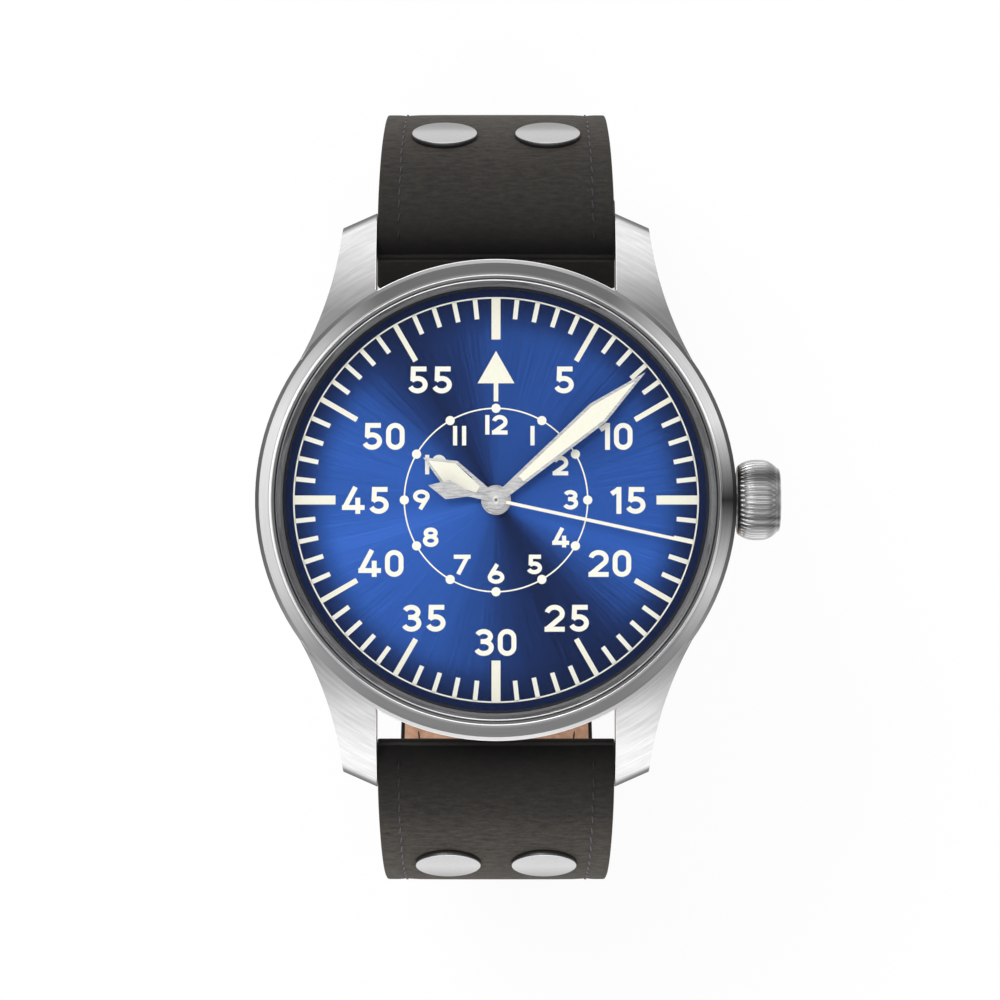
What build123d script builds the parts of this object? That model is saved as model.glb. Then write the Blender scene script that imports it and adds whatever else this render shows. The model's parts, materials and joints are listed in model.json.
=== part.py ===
from build123d import *
from math import atan2, cos, degrees, radians, sin
import os

# A pilot watch in millimetres. +Z leaves the dial towards the reader, +X points at the crown
# (3 o'clock) and +Y at 12 o'clock. The origin is the centre of the case back's outer face.
# The strap is curved round as when worn, with its two halves unfastened.

# Clearances
running_gap = 0.06  # radial, between a shaft and its hole
plate_gap = 0.15  # along a shaft, between a moving piece and what faces it
leather_gap = 0.3  # between leather and a piece that moves beside it
tip_gap = 0.1  # between the tips of the escapement's pieces
overrun = 1.0  # how far a cut runs past the face that it starts from

# Round case: the pieces inside it are steps in from its radius
case_radius = 22.0
case_height = 7.7
case_foot_step = 1.7
case_foot_height = 3.5
case_shoulder = 0.43
case_wall = 2.6
movement_ledge = 0.7
dial_wall = 1.3
dial_recess = 0.8

# Case back
back_flange = 0.9
back_thickness = 1.5
back_plug_step = 0.5
back_edge = 0.3
back_notches = 6
back_notch_width = 2.2
back_notch_length = 1.5
back_notch_depth = 0.45
back_gasket_width = 0.35
back_gasket_height = 0.3

# Lugs, as one quarter of the case in plan
lug_gap = 22.0
lug_overhang = 4.55
lug_tip_width = 3.1
lug_tip_slant = 1.45
lug_root_angle = 35.5
lug_waist_inset = 0.5
lug_waist_drop = 0.64
lug_root_height = 8.3
lug_brow_step = 3.0
lug_brow_height = 7.1
lug_tip_height = 3.3
lug_tip_foot = 1.2
lug_foot_step = 0.6
lug_tip_bevel = 0.45
lug_tip_bevel_height = 0.9

# Bezel, flange ring and crystal
bezel_wall = 1.1
bezel_height = 2.4
bezel_slope = 0.99
bezel_ridge_width = 0.58
bezel_ridge_round = 0.1
crystal_thickness = 1.4
crystal_edge = 0.2
gasket_thickness = 0.2
gasket_width = 0.4
flange_width = 0.51
flange_height = 1.8
flange_lip = 0.5
seat_gap = 0.05  # radial, between a piece and the seat that it is pressed into

# Dial and its markers, all hanging inwards from the minute circle
dial_thickness = 0.4
dial_hole = 1.35
marker_height = 0.08
minute_track_margin = 1.04
hour_bar_length = 3.45
hour_bar_width = 0.48
quarter_bar_length = 3.8
quarter_bar_width = 0.82
triangle_tip_depth = 4.85
triangle_height = 2.95
triangle_half_width = 1.68
triangle_stem_width = 0.42
triangle_stem_length = 1.65

# Movement: the plates, from the dial down to the rotor
plate_radius = 13.0
motion_space = 0.85
plate_thickness = 0.85
train_space = 2.6
bridge_thickness = 0.7
bridge_radius = 12.7
bridge_wall = 0.8
bridge_split = 2.2
bridge_split_gap = 0.3
ring_gap = 0.1
ring_stem_hole = 1.0
cock_width = 3.0
cock_foot_length = 3.6
cock_reach = 8.6
cock_angle = 185.0
cock_clearance = 0.3
barrel_wall_angle = 100.0
train_wall_middle = -50.0
train_wall_angle = 60.0
balance_window = 4.3

# Gear train: tooth counts, and the distance of each axis from the centre
barrel_teeth = 48
centre_pinion_leaves = 8
centre_teeth = 48
third_pinion_leaves = 6
third_teeth = 45
fourth_pinion_leaves = 6
fourth_teeth = 60
escape_pinion_leaves = 6
escape_teeth = 15
cannon_leaves = 8
minute_teeth = 24
minute_pinion_leaves = 6
hour_teeth = 24
barrel_distance = 6.16
third_distance = 4.32
escape_distance = 4.29
motion_distance = 3.6
barrel_angle = 135.0
third_angle = 20.0
escape_angle = -75.0
motion_angle = 250.0
addendum_share = 0.8
leaf_addendum_share = 0.7
dedendum_share = 1.25
tooth_tip_share = 0.1
leaf_tip_share = 0.16
leaf_root_share = 0.62

# Wheels: thicknesses and heights above the bridges' inner face
wheel_thickness = 0.18
rim_width = 0.55
hub_radius = 0.75
spoke_width = 0.35
spokes = 4
arbor_radius = 0.2
pivot_radius = 0.12
fourth_lift = 0.12
third_lift = 0.47
centre_lift = 0.77
escape_lift = 1.75
barrel_lift = 1.12
barrel_height = 1.36
barrel_tooth_lift = 0.4
barrel_tooth_height = 0.3
barrel_drum_radius = 4.8
barrel_wall = 0.25
barrel_arbor_radius = 0.5
barrel_core_radius = 0.9
leaf_overlap = 0.04
centre_arbor_radius = 0.5
centre_arbor_bore = 0.26

# Winding: ratchet wheel, stem, pinion and setting lever
ratchet_teeth = 20
ratchet_radius = 1.85
ratchet_tooth = 0.3
ratchet_thickness = 0.22
stem_height = 4.8
stem_radius = 0.6
stem_start = 8.15
stem_groove_start = 9.25
stem_groove_width = 0.5
stem_groove_radius = 0.35
winding_pinion_radius = 1.0
winding_pinion_length = 0.9
winding_pinion_teeth = 12
winding_pinion_tooth = 0.2
lever_width = 1.8
lever_thickness = 0.4
lever_drop = 0.7

# Escapement
escape_radius = 2.2
escape_root_share = 0.78
escape_rim_share = 0.62
escape_tip_share = 0.12
escape_front_share = 0.42
escape_heel_share = 0.18
escape_spokes = 3
pallet_distance = 2.54
pallet_bridge_lift = 1.1
pallet_bridge_thickness = 0.4
pallet_bridge_width = 0.9
pallet_bridge_half_length = 3.6
pallet_foot_length = 0.9
pallet_arbor_radius = 0.14
stone_angle = 30.0
stone_width = 0.22
stone_length = 0.5
lever_half_width = 0.14
fork_reach = 2.12
fork_notch_depth = 0.3
fork_notch_half_width = 0.15
fork_half_width = 0.34
balance_distance = 5.3
balance_radius = 3.3
balance_rim_width = 0.45
balance_rim_height = 0.35
balance_lift = 0.55
balance_arm_width = 0.45
balance_arm_thickness = 0.15
balance_staff_radius = 0.18
roller_radius = 1.05
roller_lift = 1.45
roller_thickness = 0.12
jewel_radius = 0.1
jewel_orbit = 0.76
hairspring_lift = 0.18
hairspring_height = 0.18
hairspring_width = 0.06
hairspring_start = 0.45
hairspring_step = 0.28
hairspring_half_turns = 9
mainspring_width = 0.14
mainspring_start = 1.15
mainspring_step = 0.6
mainspring_half_turns = 11

# Motion works under the dial
motion_lift = 0.08
motion_wheel_thickness = 0.22
hour_wheel_lift = 0.42
cannon_tube_radius = 0.72
hour_tube_radius = 1.1
minute_stud_radius = 0.18

# Winding rotor
rotor_radius = 12.6
rotor_rim_width = 1.8
rotor_rim_thickness = 0.75
rotor_web_thickness = 0.25
rotor_hub_radius = 2.4
rotor_bearing_radius = 1.2
rotor_bearing_flange = 1.9
rotor_bearing_drop = 0.7
rotor_flange_thickness = 0.15
rotor_slots = 3
rotor_slot_start = 4.2
rotor_slot_end = 9.6
rotor_slot_width = 2.4
rotor_slot_first = 225.0
rotor_slot_span = 90.0

# Hands: angles clockwise from 12 o'clock as the photograph shows them
hour_hand_angle = 300.3
minute_hand_angle = 49.5
second_hand_angle = 102.2
hand_thickness = 0.2
hour_hand_lift = 0.55
hand_spacing = 0.45
hour_hand_length = 7.7
hour_hand_half_width = 1.3
hour_hand_shoulder = 4.85
hour_hand_waist = 0.4
hour_boss_radius = 1.36
minute_hand_margin = 0.55
minute_hand_half_width = 1.1
minute_hand_tip = 5.7
minute_hand_waist = 0.42
minute_boss_radius = 1.15
minute_lume_start = 3.0
minute_lume_margin = 1.2
hour_lume_start = 2.9
hour_lume_end = 7.0
hand_frame_width = 0.27
second_hand_margin = 0.1
second_hand_half_width = 0.15
second_tail_length = 6.3
second_tail_shoulder = 4.5
second_tail_half_width = 0.9
second_tail_neck = 2.55
second_tail_neck_half_width = 0.22
second_boss_radius = 0.87
second_hand_thickness = 0.14

# Crown
crown_radius = 3.7
crown_face_radius = 3.1
crown_length = 3.95
crown_gap = 0.15
crown_flutes = 36
crown_flute_depth = 0.22
crown_ridge_share = 0.45
crown_station_shares = (0, 0.1, 0.3, 0.5, 0.7, 0.9, 1)
crown_seat_radius = 3.2
crown_thread_depth = 1.2
crown_recess_depth = 1.7
crown_tube_radius = 1.3
crown_tube_bore = 0.66
crown_tube_reach = 1.6

# Strap: the halves follow an arc, a straight run and an arc, seen from the side
strap_width = 21.6
strap_end_width = 20.0
strap_thickness = 3.3
lining_thickness = 0.9
strap_outer_radius = 33.0
strap_taper_height = 68.0
strap_start_tilt = 40.0
strap_straight = 12.4
bar_overhang = 2.1
bar_z = 2.35
bar_radius = 0.9
bar_tip_radius = 0.4
bar_tip_length = 1.0
bar_shoulder_gap = 0.2
roll_radius = 2.05
lining_start = 6.0
short_lining_stop = 16.0
end_roll_radius = 1.65
buckle_swing = 55.3
tail_gap = 2.8
tail_round = 8.5
strap_holes = 7
strap_hole_radius = 1.0
strap_hole_spacing = 6.5
strap_last_hole = 22.0

# Rivets
rivet_tilt = 67.7
rivet_radius = 3.1
rivet_rise = 0.95
rivet_rim = 0.25
rivet_shank_radius = 1.1
rivet_cap_radius = 1.9
rivet_cap_thickness = 0.35
rivet_seat = 0.2
rivet_spacing_12 = 9.8
rivet_spacing_6 = 9.1

# Keepers and buckle
keeper_length = 5.0
keeper_thickness = 1.2
keeper_corner = 1.0
keeper_room = 3.6
fixed_keeper_step = 5.5
floating_keeper_step = 13.0
floating_keeper_slack = 0.6  # each side, over the strap's narrow end
buckle_bar_radius = 0.75
buckle_bar_tip = 0.9
buckle_arm_width = 2.4
buckle_arm_thickness = 1.8
buckle_heel = 1.9
buckle_reach = 10.6
buckle_front_width = 2.0
buckle_corner = 1.0
tang_width = 2.0
tang_thickness = 0.9
tang_slot_width = 2.8
tang_ring_radius = 1.45
tang_bore_gap = 0.18  # radial: the tang is a strip curled loosely round the bar
tang_overhang = 0.5
tang_slot_length = 7.0

# Radii and reaches that follow the case
case_foot_radius = case_radius - case_foot_step
movement_bore = case_radius - case_wall
ring_outer_radius = movement_bore - ring_gap
dial_bore = case_radius - dial_wall
back_radius = movement_bore
back_plug_radius = back_radius - back_plug_step
bezel_radius = case_radius - case_shoulder
bezel_ridge_radius = bezel_radius - bezel_slope
crystal_radius = bezel_ridge_radius - bezel_ridge_width
gasket_bore = crystal_radius - gasket_width
flange_bore = crystal_radius - flange_width
minute_track_radius = flange_bore - minute_track_margin
triangle_tip = minute_track_radius - triangle_tip_depth
triangle_base = triangle_tip - triangle_height
triangle_stem_end = triangle_base - triangle_stem_length
minute_hand_length = minute_track_radius - minute_hand_margin
minute_hand_shoulder = minute_hand_length - minute_hand_tip
minute_lume_end = minute_hand_length - minute_lume_margin
second_hand_length = minute_track_radius - second_hand_margin
crown_start = case_radius + crown_gap
crown_tube_end = case_radius + crown_tube_reach
lug_reach = case_radius + lug_overhang
lug_brow_y = case_radius - lug_brow_step
bar_y = case_radius + bar_overhang

# Heights above the case back's outer face
case_bottom = back_flange
case_top = case_bottom + case_height
dial_bottom = case_top - dial_recess
dial_top = dial_bottom + dial_thickness
flange_top = dial_top + flange_height
crystal_bottom = flange_top + gasket_thickness
bezel_top = case_top + bezel_height
plate_top = dial_bottom - motion_space
plate_bottom = plate_top - plate_thickness
bridge_top = plate_bottom - train_space
bridge_bottom = bridge_top - bridge_thickness
pivot_bottom = bridge_bottom + bridge_thickness / 2
pivot_top = plate_bottom + plate_thickness / 2
hour_hand_base = dial_top + hour_hand_lift
minute_hand_base = hour_hand_base + hand_spacing
second_hand_base = minute_hand_base + hand_spacing
motion_base = plate_top + motion_lift
hour_wheel_base = motion_base + hour_wheel_lift


def polar(radius, angle):
    return (radius * cos(radians(angle)), radius * sin(radians(angle)))


def dial_angle(clockwise):
    """The angle from +X of a direction that a hand points in, clockwise from 12 o'clock."""
    return 90 - clockwise


centre = (0, 0)
barrel_axis = polar(barrel_distance, barrel_angle)
third_axis = polar(third_distance, third_angle)
escape_axis = polar(escape_distance, escape_angle)
motion_axis = polar(motion_distance, motion_angle)

# The pallet fork and the balance stand in line with the escape wheel, towards the plate's edge
escapement_angle = 235.0
pallet_axis = tuple(e + p for e, p in zip(escape_axis, polar(pallet_distance, escapement_angle)))
balance_axis = tuple(e + p for e, p in zip(escape_axis, polar(balance_distance, escapement_angle)))

# Each pair's module is the distance of its axes over half the sum of its teeth
barrel_module = 2 * barrel_distance / (barrel_teeth + centre_pinion_leaves)
centre_module = 2 * third_distance / (centre_teeth + third_pinion_leaves)
third_module = 2 * third_distance / (third_teeth + fourth_pinion_leaves)
fourth_module = 2 * escape_distance / (fourth_teeth + escape_pinion_leaves)
cannon_module = 2 * motion_distance / (cannon_leaves + minute_teeth)
hour_module = 2 * motion_distance / (minute_pinion_leaves + hour_teeth)


def save(piece, name):
    piece.part.label = name
    export_step(piece.part, f"parts/{name}.step")


def wheel_points(teeth, module, first_tooth):
    """A wheel's outline: a V gap and a narrow tip for each tooth, from the angle of one tooth."""
    pitch = 360 / teeth
    tip_radius = module * (teeth / 2 + addendum_share)
    root_radius = module * (teeth / 2 - dedendum_share)
    tip_half = tooth_tip_share * pitch / 2
    points = []
    for n in range(teeth):
        tooth = first_tooth + n * pitch
        points.append(polar(root_radius, tooth - pitch / 2))
        points.append(polar(tip_radius, tooth - tip_half))
        points.append(polar(tip_radius, tooth + tip_half))
    return points


def pinion_points(leaves, module, first_leaf):
    """A pinion's outline: each leaf stands on the root circle with a flat gap beside it."""
    pitch = 360 / leaves
    tip_radius = module * (leaves / 2 + leaf_addendum_share)
    root_radius = module * (leaves / 2 - dedendum_share)
    tip_half = leaf_tip_share * pitch / 2
    root_half = leaf_root_share * pitch / 2
    points = []
    for n in range(leaves):
        leaf = first_leaf + n * pitch
        points.append(polar(root_radius, leaf - root_half))
        points.append(polar(tip_radius, leaf - tip_half))
        points.append(polar(tip_radius, leaf + tip_half))
        points.append(polar(root_radius, leaf + root_half))
    return points


def meshing_tooth(bearing, teeth, first_tooth, other_teeth):
    """The angle of one tooth of a second wheel that is in mesh with a first one at rest.

    bearing is the direction from the first wheel's axis to the second's.
    """
    pitch = 360 / teeth
    lead = (first_tooth - bearing) % pitch
    return bearing + 180 - lead * teeth / other_teeth - 180 / other_teeth


# One tooth of each wheel, so that every pair is in mesh at rest
barrel_tooth = 0.0
centre_leaf = meshing_tooth(barrel_angle + 180, barrel_teeth, barrel_tooth, centre_pinion_leaves)
centre_tooth = 0.0
third_leaf = meshing_tooth(third_angle, centre_teeth, centre_tooth, third_pinion_leaves)
third_tooth = 0.0
fourth_leaf = meshing_tooth(third_angle + 180, third_teeth, third_tooth, fourth_pinion_leaves)
fourth_tooth = 0.0
escape_leaf = meshing_tooth(escape_angle, fourth_teeth, fourth_tooth, escape_pinion_leaves)
minute_tooth = 0.0
cannon_leaf = meshing_tooth(motion_angle + 180, minute_teeth, minute_tooth, cannon_leaves)
hour_tooth = 0.0
minute_leaf = meshing_tooth(motion_angle, hour_teeth, hour_tooth, minute_pinion_leaves)


def toothed_disc(height, thickness, axis, points):
    with BuildPart() as disc:
        with BuildSketch(Plane.XY.offset(height)):
            with Locations(axis):
                Polygon(*points)
        extrude(amount=thickness)
    return disc.part


def spindle(axis, low, high, radius):
    """A plain round length of arbor between two heights."""
    with BuildPart() as bar:
        with Locations((*axis, low)):
            Cylinder(radius, high - low, align=(Align.CENTER, Align.CENTER, Align.MIN))
    return bar.part


def windows(height, thickness, axis, rim, hub, count=spokes, width=spoke_width):
    """The gaps between a wheel's spokes, as one cutting shape."""
    with BuildPart() as gaps:
        with BuildSketch(Plane.XY.offset(height)):
            with Locations(axis):
                Circle(rim)
                Circle(hub, mode=Mode.SUBTRACT)
                with PolarLocations(0, count):
                    Rectangle(rim, width, align=(Align.MIN, Align.CENTER), mode=Mode.SUBTRACT)
        extrude(amount=thickness)
    return gaps.part


def arbor(axis, radius=arbor_radius):
    """A wheel's arbor, with a thinner pivot in the bridge and another in the main plate."""
    with BuildPart() as shaft:
        add(spindle(axis, pivot_bottom, pivot_top, pivot_radius))
        add(spindle(axis, bridge_top + plate_gap, plate_bottom - plate_gap, radius))
    return shaft.part


def coil(axis, base, height, start, step, half_turns, width):
    """A flat coiled spring about an axis, of half turns about two centres, each wider than the last."""
    growth = step / 2
    with BuildPart() as spring:
        with BuildSketch(Plane.XY.offset(base)):
            for n in range(half_turns):
                turn_centre = (axis[0] + growth * (n % 2), axis[1])
                radius = start + n * growth
                with Locations(turn_centre):
                    with Locations(Location((0, 0, 0), 180 * (n % 2))):
                        add(half_turn(radius, width))
        extrude(amount=height)
    return spring.part


def half_turn(radius, width):
    """Half a turn of flat wire, from the +X side round to the -X side."""
    with BuildSketch() as bend:
        with BuildLine():
            CenterArc((0, 0), radius + width / 2, 0, 180)
            CenterArc((0, 0), radius - width / 2, 0, 180)
            Line((radius - width / 2, 0), (radius + width / 2, 0))
            Line((-radius + width / 2, 0), (-radius - width / 2, 0))
        make_face()
    return bend.sketch


def ratchet_points():
    """Saw teeth: a slope up to each tip and a straight fall along the radius."""
    pitch = 360 / ratchet_teeth
    points = []
    for n in range(ratchet_teeth):
        points.append(polar(ratchet_radius - ratchet_tooth, n * pitch))
        points.append(polar(ratchet_radius, n * pitch))
    return points


def escape_points():
    """Slim teeth with an undercut front, whose tips lie on the escape wheel's circle."""
    pitch = 360 / escape_teeth
    root_radius = escape_root_share * escape_radius
    points = []
    for n in range(escape_teeth):
        tooth = n * pitch
        points.append(polar(root_radius, tooth - escape_front_share * pitch))
        points.append(polar(escape_radius, tooth - escape_tip_share * pitch))
        points.append(polar(escape_radius, tooth))
        points.append(polar(root_radius, tooth - escape_heel_share * pitch))
    return points


os.makedirs("parts", exist_ok=True)

# Mid case: a turned band whose foot slopes in, with four lugs that sweep down to the strap
lug_root = polar(case_radius, lug_root_angle)
lug_inner_x = lug_gap / 2
lug_tip = (lug_inner_x + lug_tip_width, lug_reach - lug_tip_slant)
lug_waist = (
    (lug_root[0] + lug_tip[0]) / 2 - lug_waist_inset,
    (lug_root[1] + lug_tip[1]) / 2 - lug_waist_drop,
)
dial_ledge = dial_bottom
movement_seat = case_bottom + movement_ledge
back_bore = back_plug_radius + seat_gap
gasket_seat_radius = back_bore + back_gasket_width

with BuildPart() as lug:
    with BuildSketch():
        with BuildLine():
            ThreePointArc(lug_root, lug_waist, lug_tip)
            Polyline(lug_tip, (lug_inner_x, lug_reach), (lug_inner_x, lug_root[1]), lug_root)
        make_face()
    extrude(amount=case_top)
    with BuildSketch(Plane.YZ):
        with BuildLine():
            ThreePointArc(
                (lug_root[1], lug_root_height),
                (lug_brow_y, lug_brow_height),
                (lug_reach, lug_tip_height),
            )
            Polyline(
                (lug_reach, lug_tip_height),
                (lug_reach, lug_tip_foot),
                (lug_root[1], case_bottom + lug_foot_step),
                (lug_root[1], lug_root_height),
            )
        make_face()
    extrude(amount=case_radius, mode=Mode.INTERSECT)
    tip_face = lug.faces().sort_by(Axis.Y)[-1]
    tip_edge = tip_face.edges().sort_by(Axis.Z)[-1]
    chamfer(tip_edge, length=lug_tip_bevel_height, length2=lug_tip_bevel, reference=tip_face)

with BuildPart() as mid_case:
    add(lug.part)
    mirror(about=Plane.YZ)
    mirror(about=Plane.XZ)
    with BuildSketch(Plane.XZ):
        Polygon(
            (0, case_bottom),
            (case_foot_radius, case_bottom),
            (case_radius, case_bottom + case_foot_height),
            (case_radius, case_top - case_shoulder),
            (case_radius - case_shoulder, case_top),
            (0, case_top),
        )
    revolve(axis=Axis.Z)
    with BuildSketch(Plane.XZ):
        Polygon(
            (0, case_bottom),
            (gasket_seat_radius, case_bottom),
            (gasket_seat_radius, case_bottom + back_gasket_height),
            (back_bore, case_bottom + back_gasket_height),
            (back_bore, movement_seat),
            (movement_bore, movement_seat),
            (movement_bore, dial_ledge),
            (dial_bore, dial_ledge),
            (dial_bore, case_top),
            (0, case_top),
        )
    revolve(axis=Axis.Z, mode=Mode.SUBTRACT)
    with Locations((0, bar_y, bar_z), (0, -bar_y, bar_z)):
        Cylinder(
            bar_tip_radius + seat_gap,
            lug_gap + 2 * (bar_tip_length + bar_shoulder_gap),
            rotation=(0, 90, 0),
            mode=Mode.SUBTRACT,
        )
    with BuildSketch(Plane.YZ):
        with Locations((0, stem_height)):
            Circle(crown_tube_radius)
    extrude(amount=case_radius + overrun, mode=Mode.SUBTRACT)

save(mid_case, "mid_case")

# Case back: a plug under a flange, with notches for a case key, and its gasket
with BuildPart() as case_back:
    with BuildSketch(Plane.XZ):
        Polygon(
            (0, 0),
            (back_radius - back_edge, 0),
            (back_radius, back_edge),
            (back_radius, back_flange),
            (back_plug_radius, back_flange),
            (back_plug_radius, back_thickness),
            (0, back_thickness),
        )
    revolve(axis=Axis.Z)
    with BuildSketch():
        with PolarLocations(back_radius, back_notches, start_angle=90):
            Rectangle(2 * back_notch_length, back_notch_width)
    extrude(amount=back_notch_depth, mode=Mode.SUBTRACT)

with BuildPart() as case_back_gasket:
    with BuildSketch(Plane.XY.offset(case_bottom)):
        Circle(gasket_seat_radius)
        Circle(back_bore, mode=Mode.SUBTRACT)
    extrude(amount=back_gasket_height)

save(case_back, "case_back")
save(case_back_gasket, "case_back_gasket")

# Crown tube, pressed into the case
tube_start = movement_bore + seat_gap

with BuildPart() as crown_tube:
    with BuildSketch(Plane.YZ.offset(tube_start)):
        with Locations((0, stem_height)):
            Circle(crown_tube_radius)
            Circle(crown_tube_bore, mode=Mode.SUBTRACT)
    extrude(amount=crown_tube_end - tube_start)

save(crown_tube, "crown_tube")

# Bezel, the ring that slopes down from it to the dial, and the crystal on its gasket
crystal_bore = crystal_radius + seat_gap
dial_radius = dial_bore - seat_gap

with BuildPart() as bezel:
    with BuildSketch(Plane.XZ):
        Polygon(
            (dial_bore, case_top),
            (bezel_radius, case_top),
            (bezel_radius, case_top + bezel_wall),
            (bezel_ridge_radius + bezel_ridge_round, bezel_top - bezel_ridge_round),
            (bezel_ridge_radius, bezel_top),
            (crystal_bore + bezel_ridge_round, bezel_top),
            (crystal_bore, bezel_top - bezel_ridge_round),
            (crystal_bore, crystal_bottom),
            (dial_bore, crystal_bottom),
        )
    revolve(axis=Axis.Z)

with BuildPart() as flange_ring:
    with BuildSketch(Plane.XZ):
        Polygon(
            (flange_bore, dial_top),
            (dial_radius, dial_top),
            (dial_radius, flange_top),
            (crystal_radius, flange_top),
            (flange_bore, dial_top + flange_lip),
        )
    revolve(axis=Axis.Z)

with BuildPart() as crystal_gasket:
    with BuildSketch(Plane.XY.offset(flange_top)):
        Circle(dial_radius)
        Circle(gasket_bore, mode=Mode.SUBTRACT)
    extrude(amount=gasket_thickness)

with BuildPart() as crystal:
    with BuildSketch(Plane.XY.offset(crystal_bottom)):
        Circle(crystal_radius)
    extrude(amount=crystal_thickness)
    chamfer(crystal.edges().group_by(Axis.Z)[-1], length=crystal_edge)

save(bezel, "bezel")
save(flange_ring, "flange_ring")
save(crystal_gasket, "crystal_gasket")
save(crystal, "crystal")

# Dial with its raised markers: twelve bars, longer ones at the quarters, and a triangle on a stem
with BuildPart() as dial:
    with BuildSketch(Plane.XY.offset(dial_bottom)):
        Circle(dial_radius)
        Circle(dial_hole, mode=Mode.SUBTRACT)
    extrude(amount=dial_thickness)

with BuildPart() as dial_markers:
    with BuildSketch(Plane.XY.offset(dial_top)):
        with PolarLocations(minute_track_radius - hour_bar_length / 2, 12):
            Rectangle(hour_bar_length, hour_bar_width)
        with PolarLocations(minute_track_radius - quarter_bar_length / 2, 4):
            Rectangle(quarter_bar_length, quarter_bar_width)
        Polygon(
            (-triangle_half_width, triangle_base),
            (triangle_half_width, triangle_base),
            (0, triangle_tip),
        )
        with Locations((0, triangle_stem_end)):
            Rectangle(
                triangle_stem_width,
                triangle_base - triangle_stem_end,
                align=(Align.CENTER, Align.MIN),
            )
    extrude(amount=marker_height)

save(dial, "dial")
save(dial_markers, "dial_markers")

# Movement ring: holds the movement in the case and carries the dial
with BuildPart() as movement_ring:
    with BuildSketch(Plane.XY.offset(movement_seat)):
        Circle(ring_outer_radius)
        Circle(plate_radius + seat_gap, mode=Mode.SUBTRACT)
    extrude(amount=dial_bottom - movement_seat)
    with BuildSketch(Plane.YZ):
        with Locations((0, stem_height)):
            Circle(ring_stem_hole)
    extrude(amount=case_radius, mode=Mode.SUBTRACT)

save(movement_ring, "movement_ring")

# Main plate, with a pivot hole for each arbor and a stud for the minute wheel
pivot_hole = pivot_radius + running_gap
minute_stud_top = hour_wheel_base + motion_wheel_thickness

with BuildPart() as main_plate:
    with BuildSketch(Plane.XY.offset(plate_bottom)):
        Circle(plate_radius)
        Circle(centre_arbor_radius + running_gap, mode=Mode.SUBTRACT)
        with Locations(barrel_axis):
            Circle(barrel_arbor_radius + running_gap, mode=Mode.SUBTRACT)
        with Locations(third_axis, escape_axis, pallet_axis, balance_axis):
            Circle(pivot_hole, mode=Mode.SUBTRACT)
    extrude(amount=plate_thickness)
    add(spindle(motion_axis, plate_top, minute_stud_top, minute_stud_radius))

save(main_plate, "main_plate")

# Barrel bridge and train bridge: two parts of one disc, each with a wall up to the main plate
split_plane = Plane(origin=(0, 0, 0), x_dir=(*polar(1, barrel_angle), 0), z_dir=(0, 0, 1))
cock_plane = Plane(origin=(*balance_axis, 0), x_dir=(*polar(1, cock_angle), 0), z_dir=(0, 0, 1))


def bridge_wall_piece(middle_angle, angle):
    """The wall of a bridge: a curved strip near its rim, from the bridge to the main plate."""
    with BuildPart() as wall:
        with BuildSketch(Plane.XY.offset(bridge_bottom)):
            with BuildLine():
                CenterArc((0, 0), bridge_radius, middle_angle - angle / 2, angle)
                CenterArc((0, 0), bridge_radius - bridge_wall, middle_angle - angle / 2, angle)
                for end in (middle_angle - angle / 2, middle_angle + angle / 2):
                    Line(polar(bridge_radius - bridge_wall, end), polar(bridge_radius, end))
            make_face()
        extrude(amount=plate_bottom - bridge_bottom)
    return wall.part


with BuildPart() as barrel_bridge:
    with BuildSketch(Plane.XY.offset(bridge_bottom)):
        Circle(bridge_radius)
        with Locations(barrel_axis):
            Circle(barrel_arbor_radius + running_gap, mode=Mode.SUBTRACT)
    extrude(amount=bridge_thickness)
    add(bridge_wall_piece(barrel_angle, barrel_wall_angle))
    with BuildSketch(split_plane):
        with Locations((bridge_split, 0)):
            Rectangle(2 * bridge_radius, 2 * bridge_radius, align=(Align.MAX, Align.CENTER))
    extrude(amount=plate_bottom, mode=Mode.SUBTRACT)

with BuildPart() as train_bridge:
    with BuildSketch(Plane.XY.offset(bridge_bottom)):
        Circle(bridge_radius)
        with Locations(centre, third_axis, escape_axis):
            Circle(pivot_hole, mode=Mode.SUBTRACT)
    extrude(amount=bridge_thickness)
    add(bridge_wall_piece(train_wall_middle, train_wall_angle))
    with BuildSketch(split_plane):
        with Locations((bridge_split - bridge_split_gap, 0)):
            Rectangle(2 * bridge_radius, 2 * bridge_radius, align=(Align.MIN, Align.CENTER))
    extrude(amount=plate_bottom, mode=Mode.SUBTRACT)
    with BuildSketch(cock_plane):
        Circle(balance_window)
        with Locations((0, -cock_width / 2 - cock_clearance)):
            Rectangle(bridge_radius, bridge_radius, align=(Align.MIN, Align.MIN))
    extrude(amount=plate_bottom, mode=Mode.SUBTRACT)

save(barrel_bridge, "barrel_bridge")
save(train_bridge, "train_bridge")

# Balance cock: an arm over the balance, on a foot at the rim
with BuildPart() as balance_cock:
    with BuildSketch(cock_plane.offset(bridge_bottom)):
        Circle(cock_width / 2)
        Rectangle(cock_reach, cock_width, align=(Align.MIN, Align.CENTER))
        Circle(pivot_hole, mode=Mode.SUBTRACT)
    extrude(amount=bridge_thickness)
    with BuildSketch(cock_plane.offset(bridge_bottom)):
        with Locations((cock_reach, 0)):
            Rectangle(cock_foot_length, cock_width, align=(Align.MAX, Align.CENTER))
    extrude(amount=plate_bottom - bridge_bottom)
    with Locations((0, 0, bridge_bottom)):
        Cylinder(
            bridge_radius,
            plate_bottom - bridge_bottom,
            align=(Align.CENTER, Align.CENTER, Align.MIN),
            mode=Mode.INTERSECT,
        )

save(balance_cock, "balance_cock")

# Pallet bridge: a bar on two feet that carries the pallet fork's lower pivot
pallet_plane = Plane(origin=(*pallet_axis, 0), x_dir=(*polar(1, escapement_angle), 0), z_dir=(0, 0, 1))
pallet_bridge_bottom = bridge_top + pallet_bridge_lift

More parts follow.
